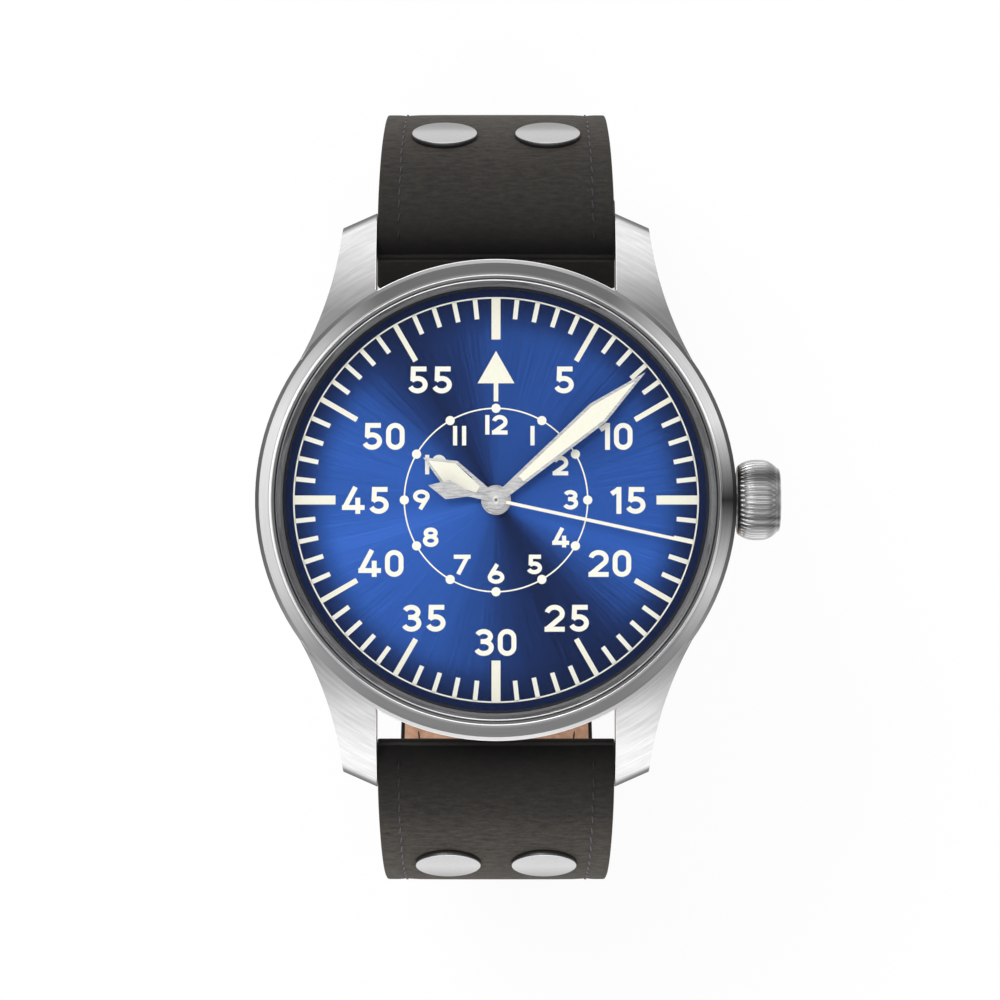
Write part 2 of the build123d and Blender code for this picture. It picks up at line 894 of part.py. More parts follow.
with BuildPart() as pallet_bridge:
    with BuildSketch(pallet_plane.offset(pallet_bridge_bottom)):
        Rectangle(pallet_bridge_width, 2 * pallet_bridge_half_length)
        Circle(pivot_hole, mode=Mode.SUBTRACT)
    extrude(amount=pallet_bridge_thickness)
    with BuildSketch(pallet_plane.offset(pallet_bridge_bottom)):
        with GridLocations(0, 2 * pallet_bridge_half_length - pallet_foot_length, 1, 2):
            Rectangle(pallet_bridge_width, pallet_foot_length)
    extrude(amount=plate_bottom - pallet_bridge_bottom)

save(pallet_bridge, "pallet_bridge")

# Winding rotor: a half disc with a heavy rim, hung on a flanged bearing under the train bridge
rotor_top = bridge_bottom - plate_gap
rotor_web_bottom = rotor_top - rotor_web_thickness
bearing_end = bridge_bottom - rotor_bearing_drop

with BuildPart() as rotor:
    with BuildSketch(Plane.XY.offset(rotor_web_bottom)):
        Circle(rotor_radius)
        Rectangle(2 * rotor_radius, rotor_radius, align=(Align.CENTER, Align.MIN), mode=Mode.SUBTRACT)
        Circle(rotor_hub_radius)
        Circle(rotor_bearing_radius + running_gap, mode=Mode.SUBTRACT)
        with PolarLocations((rotor_slot_start + rotor_slot_end) / 2, rotor_slots, rotor_slot_first, rotor_slot_span):
            SlotOverall(rotor_slot_end - rotor_slot_start, rotor_slot_width, mode=Mode.SUBTRACT)
    extrude(amount=rotor_web_thickness)
    with BuildSketch(Plane.XY.offset(rotor_top - rotor_rim_thickness)):
        Circle(rotor_radius)
        Circle(rotor_radius - rotor_rim_width, mode=Mode.SUBTRACT)
        Rectangle(2 * rotor_radius, rotor_radius, align=(Align.CENTER, Align.MIN), mode=Mode.SUBTRACT)
    extrude(amount=rotor_rim_thickness)

with BuildPart() as rotor_bearing:
    with BuildSketch(Plane.XY.offset(bearing_end)):
        Circle(rotor_bearing_radius)
    extrude(amount=rotor_bearing_drop)
    with BuildSketch(Plane.XY.offset(bearing_end)):
        Circle(rotor_bearing_flange)
    extrude(amount=rotor_flange_thickness)

save(rotor, "rotor")
save(rotor_bearing, "rotor_bearing")


# Gear train: each wheel is a thin toothed disc with spokes, and its pinion stands on it
def wheel_base(lift):
    return bridge_top + lift


fourth_base = wheel_base(fourth_lift)
third_base = wheel_base(third_lift)
centre_base = wheel_base(centre_lift)
barrel_base = wheel_base(barrel_lift)
escape_base = wheel_base(escape_lift)
centre_rim = centre_module * (centre_teeth / 2 - dedendum_share) - rim_width
third_rim = third_module * (third_teeth / 2 - dedendum_share) - rim_width
fourth_rim = fourth_module * (fourth_teeth / 2 - dedendum_share) - rim_width
seconds_arbor_top = second_hand_base + second_hand_thickness

with BuildPart() as fourth_wheel:
    add(toothed_disc(
        fourth_base,
        wheel_thickness,
        centre,
        wheel_points(fourth_teeth, fourth_module, fourth_tooth),
    ))
    add(windows(fourth_base, wheel_thickness, centre, fourth_rim, hub_radius), mode=Mode.SUBTRACT)
    add(toothed_disc(
        fourth_base,
        third_base + wheel_thickness + leaf_overlap - fourth_base,
        centre,
        pinion_points(fourth_pinion_leaves, third_module, fourth_leaf),
    ))
    add(spindle(centre, pivot_bottom, fourth_base, pivot_radius))
    add(spindle(centre, fourth_base, seconds_arbor_top, arbor_radius))

with BuildPart() as third_wheel:
    add(toothed_disc(
        third_base,
        wheel_thickness,
        third_axis,
        wheel_points(third_teeth, third_module, third_tooth),
    ))
    add(windows(third_base, wheel_thickness, third_axis, third_rim, hub_radius), mode=Mode.SUBTRACT)
    add(toothed_disc(
        third_base,
        centre_base + wheel_thickness + leaf_overlap - third_base,
        third_axis,
        pinion_points(third_pinion_leaves, centre_module, third_leaf),
    ))
    add(arbor(third_axis))

with BuildPart() as centre_wheel:
    add(toothed_disc(
        centre_base,
        wheel_thickness,
        centre,
        wheel_points(centre_teeth, centre_module, centre_tooth),
    ))
    add(windows(centre_base, wheel_thickness, centre, centre_rim, hub_radius), mode=Mode.SUBTRACT)
    add(toothed_disc(
        centre_base,
        plate_bottom - plate_gap - centre_base,
        centre,
        pinion_points(centre_pinion_leaves, barrel_module, centre_leaf),
    ))
    add(spindle(centre, centre_base, hour_wheel_base + motion_wheel_thickness, centre_arbor_radius))
    add(
        spindle(centre, centre_base - overrun, hour_wheel_base + overrun, centre_arbor_bore),
        mode=Mode.SUBTRACT,
    )

save(fourth_wheel, "fourth_wheel")
save(third_wheel, "third_wheel")
save(centre_wheel, "centre_wheel")

# Mainspring barrel: a toothed drum, closed above and below, with its spring coiled inside
barrel_top = barrel_base + barrel_height
barrel_hole = barrel_arbor_radius + running_gap
barrel_tooth_base = barrel_base + barrel_tooth_lift
spring_base = barrel_base + barrel_wall + running_gap

with BuildPart() as mainspring_barrel:
    add(spindle(barrel_axis, barrel_base, barrel_top, barrel_drum_radius))
    add(toothed_disc(
        barrel_tooth_base,
        barrel_tooth_height,
        barrel_axis,
        wheel_points(barrel_teeth, barrel_module, barrel_tooth),
    ))
    add(
        spindle(
            barrel_axis,
            barrel_base + barrel_wall,
            barrel_top - barrel_wall,
            barrel_drum_radius - barrel_wall,
        ),
        mode=Mode.SUBTRACT,
    )
    add(spindle(barrel_axis, barrel_base - overrun, barrel_top + overrun, barrel_hole), mode=Mode.SUBTRACT)

with BuildPart() as mainspring:
    add(coil(
        barrel_axis,
        spring_base,
        barrel_height - 2 * (barrel_wall + running_gap),
        mainspring_start,
        mainspring_step,
        mainspring_half_turns,
        mainspring_width,
    ))

with BuildPart() as ratchet_wheel:
    add(spindle(barrel_axis, pivot_bottom, pivot_top, barrel_arbor_radius))
    add(spindle(barrel_axis, spring_base, barrel_top - barrel_wall - running_gap, barrel_core_radius))
    with BuildSketch(Plane.XY.offset(fourth_base)):
        with Locations(barrel_axis):
            Polygon(*ratchet_points())
    extrude(amount=ratchet_thickness)

save(mainspring_barrel, "mainspring_barrel")
save(mainspring, "mainspring")
save(ratchet_wheel, "ratchet_wheel")

# Escape wheel: fifteen teeth that lean forward, on an arbor whose pinion meets the fourth wheel
with BuildPart() as escape_wheel:
    with BuildSketch(Plane.XY.offset(escape_base)):
        with Locations(escape_axis):
            Polygon(*escape_points())
    extrude(amount=wheel_thickness)
    add(
        windows(
            escape_base,
            wheel_thickness,
            escape_axis,
            escape_rim_share * escape_radius,
            hub_radius,
            escape_spokes,
        ),
        mode=Mode.SUBTRACT,
    )
    add(toothed_disc(
        bridge_top + plate_gap,
        fourth_base + wheel_thickness + leaf_overlap - bridge_top - plate_gap,
        escape_axis,
        pinion_points(escape_pinion_leaves, fourth_module, escape_leaf),
    ))
    add(arbor(escape_axis))

save(escape_wheel, "escape_wheel")

# Pallet fork: a lever with a notched fork, two arms and their stones
stone_radius = escape_radius + tip_gap
stone_orbit = stone_radius + stone_length / 2


def stone_plane(side):
    """The plane that one pallet stone lies in: +X points away from the escape wheel's axis."""
    outward = polar(1, escapement_angle + side * stone_angle)
    place = tuple(e + stone_orbit * o for e, o in zip(escape_axis, outward))
    return Plane(origin=(*place, escape_base), x_dir=(*outward, 0), z_dir=(0, 0, 1))


with BuildPart() as pallet_fork:
    with BuildSketch(pallet_plane.offset(escape_base)):
        Rectangle(fork_reach, 2 * lever_half_width, align=(Align.MIN, Align.CENTER))
        with Locations((fork_reach, 0)):
            Rectangle(2 * fork_notch_depth, 2 * fork_half_width, align=(Align.MAX, Align.CENTER))
            Rectangle(
                fork_notch_depth,
                2 * fork_notch_half_width,
                align=(Align.MAX, Align.CENTER),
                mode=Mode.SUBTRACT,
            )
        Circle(2 * lever_half_width)
    extrude(amount=wheel_thickness)
    for side in (-1, 1):
        reach = stone_plane(side).origin - Vector(*pallet_axis, escape_base)
        with BuildSketch(Plane(origin=(*pallet_axis, escape_base), x_dir=reach, z_dir=(0, 0, 1))):
            Rectangle(reach.length, 2 * lever_half_width, align=(Align.MIN, Align.CENTER))
        extrude(amount=wheel_thickness)
    for side in (-1, 1):
        with BuildSketch(stone_plane(side)):
            Rectangle(stone_length, stone_width)
        extrude(amount=wheel_thickness, mode=Mode.SUBTRACT)
    add(spindle(pallet_axis, pallet_bridge_bottom + tip_gap, pivot_top, pivot_radius))
    add(spindle(pallet_axis, escape_base, plate_bottom - plate_gap, pallet_arbor_radius))

with BuildPart() as pallet_stones:
    for side in (-1, 1):
        with BuildSketch(stone_plane(side)):
            Rectangle(stone_length, stone_width)
        extrude(amount=wheel_thickness)

save(pallet_fork, "pallet_fork")
save(pallet_stones, "pallet_stones")

# Balance: a rim on two arms, its staff, the roller with its jewel, and the hairspring
balance_base = bridge_top + balance_lift
roller_base = bridge_top + roller_lift
hairspring_base = bridge_top + hairspring_lift
rim_bore = balance_radius - balance_rim_width
jewel_place = tuple(b + j for b, j in zip(balance_axis, polar(jewel_orbit, escapement_angle + 180)))

with BuildPart() as balance_wheel:
    with BuildSketch(Plane.XY.offset(balance_base)):
        with Locations(balance_axis):
            Circle(balance_radius)
            Circle(rim_bore, mode=Mode.SUBTRACT)
    extrude(amount=balance_rim_height)
    with BuildSketch(Plane.XY.offset(balance_base)):
        with Locations(balance_axis):
            Rectangle(2 * rim_bore + balance_rim_width, balance_arm_width)
            Circle(hub_radius)
    extrude(amount=balance_arm_thickness)
    add(spindle(balance_axis, pivot_bottom, pivot_top, pivot_radius))
    add(spindle(balance_axis, bridge_top + plate_gap, plate_bottom - plate_gap, balance_staff_radius))

with BuildPart() as impulse_roller:
    with BuildSketch(Plane.XY.offset(roller_base)):
        with Locations(balance_axis):
            Circle(roller_radius)
            Circle(balance_staff_radius, mode=Mode.SUBTRACT)
    extrude(amount=roller_thickness)
    add(spindle(jewel_place, roller_base, escape_base + wheel_thickness, jewel_radius))

with BuildPart() as hairspring:
    add(coil(
        balance_axis,
        hairspring_base,
        hairspring_height,
        hairspring_start,
        hairspring_step,
        hairspring_half_turns,
        hairspring_width,
    ))

save(balance_wheel, "balance_wheel")
save(impulse_roller, "impulse_roller")
save(hairspring, "hairspring")

# Motion works: cannon pinion on the centre arbor, minute wheel on its stud, hour wheel over both
hour_tube_top = hour_hand_base + hand_thickness
cannon_top = minute_hand_base + hand_thickness
motion_top = motion_base + motion_wheel_thickness
hour_wheel_top = hour_wheel_base + motion_wheel_thickness

with BuildPart() as cannon_pinion:
    add(toothed_disc(
        motion_base,
        motion_wheel_thickness,
        centre,
        pinion_points(cannon_leaves, cannon_module, cannon_leaf),
    ))
    add(spindle(centre, motion_top, cannon_top, cannon_tube_radius))
    add(spindle(centre, motion_base, hour_wheel_top, centre_arbor_radius), mode=Mode.SUBTRACT)
    add(spindle(centre, hour_wheel_top, cannon_top + overrun, centre_arbor_bore), mode=Mode.SUBTRACT)

with BuildPart() as minute_wheel:
    add(toothed_disc(
        motion_base,
        motion_wheel_thickness,
        motion_axis,
        wheel_points(minute_teeth, cannon_module, minute_tooth),
    ))
    add(toothed_disc(
        motion_base,
        hour_wheel_top - motion_base,
        motion_axis,
        pinion_points(minute_pinion_leaves, hour_module, minute_leaf),
    ))
    add(
        spindle(motion_axis, motion_base, hour_wheel_top, minute_stud_radius + running_gap),
        mode=Mode.SUBTRACT,
    )

with BuildPart() as hour_wheel:
    add(toothed_disc(
        hour_wheel_base,
        motion_wheel_thickness,
        centre,
        wheel_points(hour_teeth, hour_module, hour_tooth),
    ))
    add(spindle(centre, hour_wheel_base, hour_tube_top, hour_tube_radius))
    add(
        spindle(centre, hour_wheel_base, hour_tube_top, cannon_tube_radius + running_gap),
        mode=Mode.SUBTRACT,
    )

save(cannon_pinion, "cannon_pinion")
save(minute_wheel, "minute_wheel")
save(hour_wheel, "hour_wheel")


# Hands, each in its own plane with +Y along the hand
def hand_plane(height, clockwise):
    across = polar(1, dial_angle(clockwise) - 90)
    return Plane(origin=(0, 0, height), x_dir=(*across, 0), z_dir=(0, 0, 1))


def inlay_points(start, end, shoulder, half_width, boss_half_width):
    """The window for the lume, one frame's width inside the hand's outline."""
    inner = half_width - hand_frame_width
    neck = boss_half_width + (half_width - boss_half_width) * start / shoulder - hand_frame_width
    return [(-neck, start), (neck, start), (inner, shoulder), (0, end), (-inner, shoulder)]


hour_plane = hand_plane(hour_hand_base, hour_hand_angle)
minute_plane = hand_plane(minute_hand_base, minute_hand_angle)
second_plane = hand_plane(second_hand_base, second_hand_angle)
hour_inlay = inlay_points(
    hour_lume_start,
    hour_lume_end,
    hour_hand_shoulder,
    hour_hand_half_width,
    hour_hand_waist,
)
minute_inlay = inlay_points(
    minute_lume_start,
    minute_lume_end,
    minute_hand_shoulder,
    minute_hand_half_width,
    minute_hand_waist,
)

with BuildPart() as hour_hand:
    with BuildSketch(hour_plane):
        Circle(hour_boss_radius)
        Polygon(
            (-hour_hand_waist, 0),
            (hour_hand_waist, 0),
            (hour_hand_half_width, hour_hand_shoulder),
            (0, hour_hand_length),
            (-hour_hand_half_width, hour_hand_shoulder),
        )
        Circle(hour_tube_radius, mode=Mode.SUBTRACT)
        Polygon(*hour_inlay, mode=Mode.SUBTRACT)
    extrude(amount=hand_thickness)

with BuildPart() as hour_hand_lume:
    with BuildSketch(hour_plane):
        Polygon(*hour_inlay)
    extrude(amount=hand_thickness)

with BuildPart() as minute_hand:
    with BuildSketch(minute_plane):
        Circle(minute_boss_radius)
        Polygon(
            (-minute_hand_waist, 0),
            (minute_hand_waist, 0),
            (minute_hand_half_width, minute_hand_shoulder),
            (0, minute_hand_length),
            (-minute_hand_half_width, minute_hand_shoulder),
        )
        Circle(cannon_tube_radius, mode=Mode.SUBTRACT)
        Polygon(*minute_inlay, mode=Mode.SUBTRACT)
    extrude(amount=hand_thickness)

with BuildPart() as minute_hand_lume:
    with BuildSketch(minute_plane):
        Polygon(*minute_inlay)
    extrude(amount=hand_thickness)

with BuildPart() as second_hand:
    with BuildSketch(second_plane):
        Circle(second_boss_radius)
        Polygon(
            (-second_hand_half_width, -second_tail_neck),
            (second_hand_half_width, -second_tail_neck),
            (second_hand_half_width, second_hand_length),
            (-second_hand_half_width, second_hand_length),
        )
        Polygon(
            (-second_tail_neck_half_width, 0),
            (-second_tail_neck_half_width, -second_tail_neck),
            (-second_tail_half_width, -second_tail_shoulder),
            (0, -second_tail_length),
            (second_tail_half_width, -second_tail_shoulder),
            (second_tail_neck_half_width, -second_tail_neck),
            (second_tail_neck_half_width, 0),
        )
        Circle(arbor_radius, mode=Mode.SUBTRACT)
    extrude(amount=second_hand_thickness)

save(hour_hand, "hour_hand")
save(hour_hand_lume, "hour_hand_lume")
save(minute_hand, "minute_hand")
save(minute_hand_lume, "minute_hand_lume")
save(second_hand, "second_hand")

# Winding stem with its pinion, and the lever that rides in the stem's groove
crown_seat = crown_start + crown_recess_depth
stem_end = crown_seat + crown_thread_depth

with BuildPart() as winding_stem:
    with BuildSketch(Plane.YZ.offset(stem_start)):
        with Locations((0, stem_height)):
            Circle(stem_radius)
    extrude(amount=stem_end - stem_start)
    with BuildSketch(Plane.YZ.offset(stem_groove_start)):
        with Locations((0, stem_height)):
            Circle(stem_radius)
            Circle(stem_groove_radius, mode=Mode.SUBTRACT)
    extrude(amount=stem_groove_width, mode=Mode.SUBTRACT)

with BuildPart() as winding_pinion:
    with BuildSketch(Plane.YZ.offset(stem_start)):
        with Locations((0, stem_height)):
            Circle(winding_pinion_radius)
            Circle(stem_radius, mode=Mode.SUBTRACT)
            with PolarLocations(winding_pinion_radius, winding_pinion_teeth):
                Rectangle(2 * winding_pinion_tooth, winding_pinion_tooth, mode=Mode.SUBTRACT)
    extrude(amount=winding_pinion_length)

with BuildPart() as setting_lever:
    with BuildSketch(Plane.YZ.offset(stem_groove_start + (stem_groove_width - lever_thickness) / 2)):
        with Locations((0, plate_bottom - running_gap)):
            Rectangle(
                lever_width,
                plate_bottom - running_gap - stem_height + lever_drop,
                align=(Align.CENTER, Align.MAX),
            )
        with Locations((0, stem_height)):
            Circle(stem_groove_radius + running_gap, mode=Mode.SUBTRACT)
            Rectangle(
                2 * (stem_groove_radius + running_gap),
                lever_drop,
                align=(Align.CENTER, Align.MAX),
                mode=Mode.SUBTRACT,
            )
    extrude(amount=lever_thickness)

save(winding_stem, "winding_stem")
save(winding_pinion, "winding_pinion")
save(setting_lever, "setting_lever")

# Crown: a barrel whose lengthwise flutes follow its bulge, hollow where it slides over the tube
def crown_bulge(share):
    """The crown's radius at a share of its length: an arch that ends lower at the face."""
    arch = 1 - (2 * share - 1) ** 4
    end_radius = crown_seat_radius + (crown_face_radius - crown_seat_radius) * share
    return end_radius + (crown_radius - end_radius) * arch


def crown_points(radius):
    """A fluted outline: a flat ridge and a V groove for each flute."""
    pitch = 360 / crown_flutes
    ridge_half = crown_ridge_share * pitch / 2
    points = []
    for n in range(crown_flutes):
        points.append(polar(radius, n * pitch - ridge_half))
        points.append(polar(radius, n * pitch + ridge_half))
        points.append(polar(radius - crown_flute_depth, (n + 1 / 2) * pitch))
    return points


with BuildPart() as crown:
    for share in crown_station_shares:
        crown_plane = Plane(
            origin=(crown_start + share * crown_length, 0, stem_height),
            x_dir=(0, 1, 0),
            z_dir=(1, 0, 0),
        )
        with BuildSketch(crown_plane):
            Polygon(*crown_points(crown_bulge(share)))
    loft(ruled=True)
    with BuildSketch(Plane.YZ.offset(crown_start)):
        with Locations((0, stem_height)):
            Circle(crown_tube_radius + running_gap)
    extrude(amount=crown_recess_depth, mode=Mode.SUBTRACT)
    with BuildSketch(Plane.YZ.offset(crown_seat)):
        with Locations((0, stem_height)):
            Circle(stem_radius)
    extrude(amount=crown_thread_depth, mode=Mode.SUBTRACT)

save(crown, "crown")


# Strap: seen from the side, each half follows an arc, a straight run and a second arc. Here u is the
# distance from the watch's middle towards the half's own end, and tilt is the outward direction's
# angle from straight up.
strap_middle_radius = strap_outer_radius - strap_thickness / 2
strap_inner_radius = strap_outer_radius - strap_thickness
lining_radius = strap_inner_radius + lining_thickness
bar_orbit = strap_outer_radius - roll_radius
arc_u = bar_y - bar_orbit * sin(radians(strap_start_tilt))
upper_arc_w = bar_z - bar_orbit * cos(radians(strap_start_tilt))
lower_arc_w = upper_arc_w - strap_straight
upper_arc_length = radians(90 - strap_start_tilt) * strap_middle_radius
lower_arc_length = radians(90) * strap_middle_radius
lower_arc_start = upper_arc_length + strap_straight
bottom_start = lower_arc_start + lower_arc_length
far_arc_start = bottom_start + 2 * arc_u

# The buckle's bar stands part of the way down the lower arc, and the tail stops short of the buckle
short_strap_length = lower_arc_start + radians(buckle_swing) * strap_middle_radius
fixed_keeper_distance = short_strap_length - fixed_keeper_step
floating_keeper_distance = short_strap_length - floating_keeper_step
buckle_room = bottom_start - short_strap_length - buckle_reach
long_strap_length = far_arc_start + buckle_room - tail_gap


def strap_place(distance, radius):
    """The place and tilt on a strap half, at a distance along it and a radius of its arcs."""
    if distance < upper_arc_length:
        tilt = strap_start_tilt + degrees(distance / strap_middle_radius)
        start = (arc_u, upper_arc_w)
    else:
        tilt = 90 + degrees((distance - lower_arc_start) / strap_middle_radius)
        start = (arc_u, lower_arc_w)
    return start[0] + radius * sin(radians(tilt)), start[1] + radius * cos(radians(tilt)), tilt


def strap_edge(radius, start, end):
    """One edge of a strap half seen from the side, drawn into the current outline.

    It runs at one radius of the arcs, from one distance along the strap to another, and returns its ends.
    """
    start_tilt = strap_start_tilt + degrees(start / strap_middle_radius)
    CenterArc((arc_u, upper_arc_w), radius, 0, 90 - start_tilt)
    Line((arc_u + radius, upper_arc_w), (arc_u + radius, lower_arc_w))
    first = (arc_u + radius * sin(radians(start_tilt)), upper_arc_w + radius * cos(radians(start_tilt)))
    if end < bottom_start:
        swing = degrees((end - lower_arc_start) / strap_middle_radius)
        CenterArc((arc_u, lower_arc_w), radius, -swing, swing)
        last = (arc_u + radius * cos(radians(swing)), lower_arc_w - radius * sin(radians(swing)))
    else:
        swing = degrees((end - far_arc_start) / strap_middle_radius)
        CenterArc((arc_u, lower_arc_w), radius, -90, 90)
        Line((arc_u, lower_arc_w - radius), (-arc_u, lower_arc_w - radius))
        CenterArc((-arc_u, lower_arc_w), radius, -90 - swing, swing)
        last = (-arc_u - radius * sin(radians(swing)), lower_arc_w - radius * cos(radians(swing)))
    return first, last


def side_plane(side):
    """The plane that a strap half is drawn in: +X leads to its own end of the watch and +Y up."""
    return Plane(origin=(0, 0, 0), x_dir=(0, side, 0), z_dir=(side, 0, 0))


def strap_layer(side, inner, outer, start, end):
    """A layer of a strap half between two radii, tapered from the case to the strap's end."""
    with BuildPart() as layer:
        with BuildSketch(side_plane(side)):
            with BuildLine():
                outer_start, outer_end = strap_edge(outer, start, end)
                inner_start, inner_end = strap_edge(inner, start, end)
                Line(outer_start, inner_start)
                Line(outer_end, inner_end)
            make_face()
        extrude(amount=strap_width / 2, both=True)
    return layer.part


def strap_plan(side):
    """The strap's width seen from its own end, narrower at the bottom of the loop."""
    with BuildPart() as plan:
        with BuildSketch(Plane.XZ):
            Polygon(
                (-strap_width / 2, bar_z + roll_radius),
                (strap_width / 2, bar_z + roll_radius),
                (strap_width / 2, 0),
                (strap_end_width / 2, -strap_taper_height),
                (-strap_end_width / 2, -strap_taper_height),
                (-strap_width / 2, 0),
            )
        extrude(amount=-side * (strap_outer_radius + 2 * bar_y), both=True)
    return plan.part


def place_plane(side, distance, radius):
    """A plane square to the strap's surface at one place, its normal pointing out of the loop."""
    u, w, tilt = strap_place(distance, radius)
    return Plane(
        origin=(0, side * u, w),
        x_dir=(1, 0, 0),
        z_dir=(0, side * sin(radians(tilt)), cos(radians(tilt))),
    )


rivet_distance = radians(rivet_tilt - strap_start_tilt) * strap_middle_radius


def rivet_holes(side, spacing):
    """What a pair of rivets takes out of a strap half: shank holes, and shallow seats on both faces."""
    with BuildPart() as holes:
        with BuildSketch(place_plane(side, rivet_distance, strap_inner_radius - overrun)):
            with GridLocations(spacing, 0, 2, 1):
                Circle(rivet_shank_radius)
        extrude(amount=strap_thickness + 2 * overrun)
        with BuildSketch(place_plane(side, rivet_distance, strap_outer_radius - rivet_seat)):
            with GridLocations(spacing, 0, 2, 1):
                Circle(rivet_radius)
        extrude(amount=rivet_seat + overrun)
        with BuildSketch(place_plane(side, rivet_distance, strap_inner_radius)):
            with GridLocations(spacing, 0, 2, 1):
                Circle(rivet_cap_radius)
        extrude(amount=-overrun)
    return holes.part


def rivet_pair(side, spacing):
    """Two rivets: a low dome on a rim, a shank through the strap, and a flat cap inside the loop."""
    head_plane = place_plane(side, rivet_distance, strap_outer_radius - rivet_seat)
    shank_plane = place_plane(side, rivet_distance, strap_inner_radius)
    dome_radius = (rivet_radius ** 2 + rivet_rise ** 2) / (2 * rivet_rise)
    dome_start = degrees(atan2(dome_radius - rivet_rise, rivet_radius))
    with BuildPart() as rivets:
        with BuildSketch(head_plane):
            with GridLocations(spacing, 0, 2, 1):
                Circle(rivet_radius)
        extrude(amount=rivet_rim)
        for across in (-spacing / 2, spacing / 2):
            with Locations(head_plane.offset(rivet_rim)):
                with Locations((across, 0, 0)):
                    Sphere(
                        dome_radius,
                        arc_size1=dome_start,
                        align=(Align.CENTER, Align.CENTER, Align.MIN),
                    )
        with BuildSketch(shank_plane):
            with GridLocations(spacing, 0, 2, 1):
                Circle(rivet_shank_radius)
        extrude(amount=strap_thickness - rivet_seat)
        with BuildSketch(shank_plane):
            with GridLocations(spacing, 0, 2, 1):
                Circle(rivet_cap_radius)
        extrude(amount=-rivet_cap_thickness)
    return rivets


def bar_roll(side, u, w, radius, hole, width):
    """The leather rolled round a bar at a place on a strap half, with the bar's hole."""
    with BuildPart() as roll:
        with BuildSketch(side_plane(side)):
            with Locations((u, w)):
                Circle(radius)
                Circle(hole, mode=Mode.SUBTRACT)
        extrude(amount=width / 2, both=True)
    return roll.part


def bar_bore(side, u, w, hole):
    with BuildPart() as bore:
        with BuildSketch(side_plane(side)):
            with Locations((u, w)):
                Circle(hole)
        extrude(amount=strap_width, both=True)
    return bore.part


bar_hole = bar_radius + running_gap
buckle_hole = buckle_bar_radius + running_gap
buckle_u, buckle_w, buckle_tilt = strap_place(short_strap_length, strap_middle_radius)
short_lining_end = short_strap_length - short_lining_stop
buckle_plane = Plane(
    origin=(0, buckle_u, buckle_w),
    x_dir=(0, cos(radians(buckle_tilt)), -sin(radians(buckle_tilt))),
    z_dir=(1, 0, 0),
)

# The 12 o'clock half, folded round the spring bar at one end and the buckle bar at the other
with BuildPart() as strap_12:
    add(strap_layer(1, strap_inner_radius, strap_outer_radius, 0, short_strap_length))
    add(bar_roll(1, bar_y, bar_z, roll_radius, bar_hole, strap_width))
    add(bar_roll(1, buckle_u, buckle_w, end_roll_radius, buckle_hole, strap_width))
    add(strap_plan(1), mode=Mode.INTERSECT)
    add(bar_bore(1, bar_y, bar_z, bar_hole), mode=Mode.SUBTRACT)
    add(bar_bore(1, buckle_u, buckle_w, buckle_hole), mode=Mode.SUBTRACT)
    add(
        strap_layer(1, strap_inner_radius, lining_radius, lining_start, short_lining_end),
        mode=Mode.SUBTRACT,
    )
    add(rivet_holes(1, rivet_spacing_12), mode=Mode.SUBTRACT)
    with BuildSketch(buckle_plane):
        with Locations((-tang_slot_length, 0)):
            Rectangle(
                tang_slot_length + end_roll_radius + overrun,
                3 * strap_thickness,
                align=(Align.MIN, Align.CENTER),
            )
    extrude(amount=tang_slot_width / 2, both=True, mode=Mode.SUBTRACT)

with BuildPart() as strap_12_lining:
    add(strap_layer(1, strap_inner_radius, lining_radius, lining_start, short_lining_end))
    add(strap_plan(1), mode=Mode.INTERSECT)
    add(rivet_holes(1, rivet_spacing_12), mode=Mode.SUBTRACT)

with BuildPart() as rivets_12:
    add(rivet_pair(1, rivet_spacing_12).part)

save(strap_12, "strap_12")
save(strap_12_lining, "strap_12_lining")
save(rivets_12, "rivets_12")

# The 6 o'clock half, with a row of holes and a rounded tail that passes the loop's bottom
with BuildPart() as hole_row:
    for n in range(strap_holes):
        from_tip = strap_last_hole + n * strap_hole_spacing
        with BuildSketch(place_plane(-1, long_strap_length - from_tip, strap_inner_radius - overrun)):
            Circle(strap_hole_radius)
        extrude(amount=strap_thickness + 2 * overrun)

tail_swing = (long_strap_length - far_arc_start) / strap_middle_radius
tail_y = arc_u + strap_outer_radius * sin(tail_swing)
tail_depth_share = (strap_outer_radius - lower_arc_w) / strap_taper_height
tail_width = strap_width - (strap_width - strap_end_width) * tail_depth_share

with BuildPart() as tail_corners:
    with BuildSketch(Plane.XY.offset(lower_arc_w)):
        with Locations((0, tail_y - tail_round)):
            Rectangle(strap_width, tail_round + overrun, align=(Align.CENTER, Align.MIN))
            Rectangle(
                tail_width - 2 * tail_round,
                tail_round + overrun,
                align=(Align.CENTER, Align.MIN),
                mode=Mode.SUBTRACT,
            )
            with GridLocations(tail_width - 2 * tail_round, 0, 2, 1):
                Circle(tail_round, mode=Mode.SUBTRACT)
    extrude(amount=-strap_outer_radius - overrun)

with BuildPart() as strap_6:
    add(strap_layer(-1, strap_inner_radius, strap_outer_radius, 0, long_strap_length))
    add(bar_roll(-1, bar_y, bar_z, roll_radius, bar_hole, strap_width))
    add(strap_plan(-1), mode=Mode.INTERSECT)
    add(bar_bore(-1, bar_y, bar_z, bar_hole), mode=Mode.SUBTRACT)
    add(
        strap_layer(-1, strap_inner_radius, lining_radius, lining_start, long_strap_length),
        mode=Mode.SUBTRACT,
    )
    add(rivet_holes(-1, rivet_spacing_6), mode=Mode.SUBTRACT)
    add(hole_row.part, mode=Mode.SUBTRACT)
    add(tail_corners.part, mode=Mode.SUBTRACT)

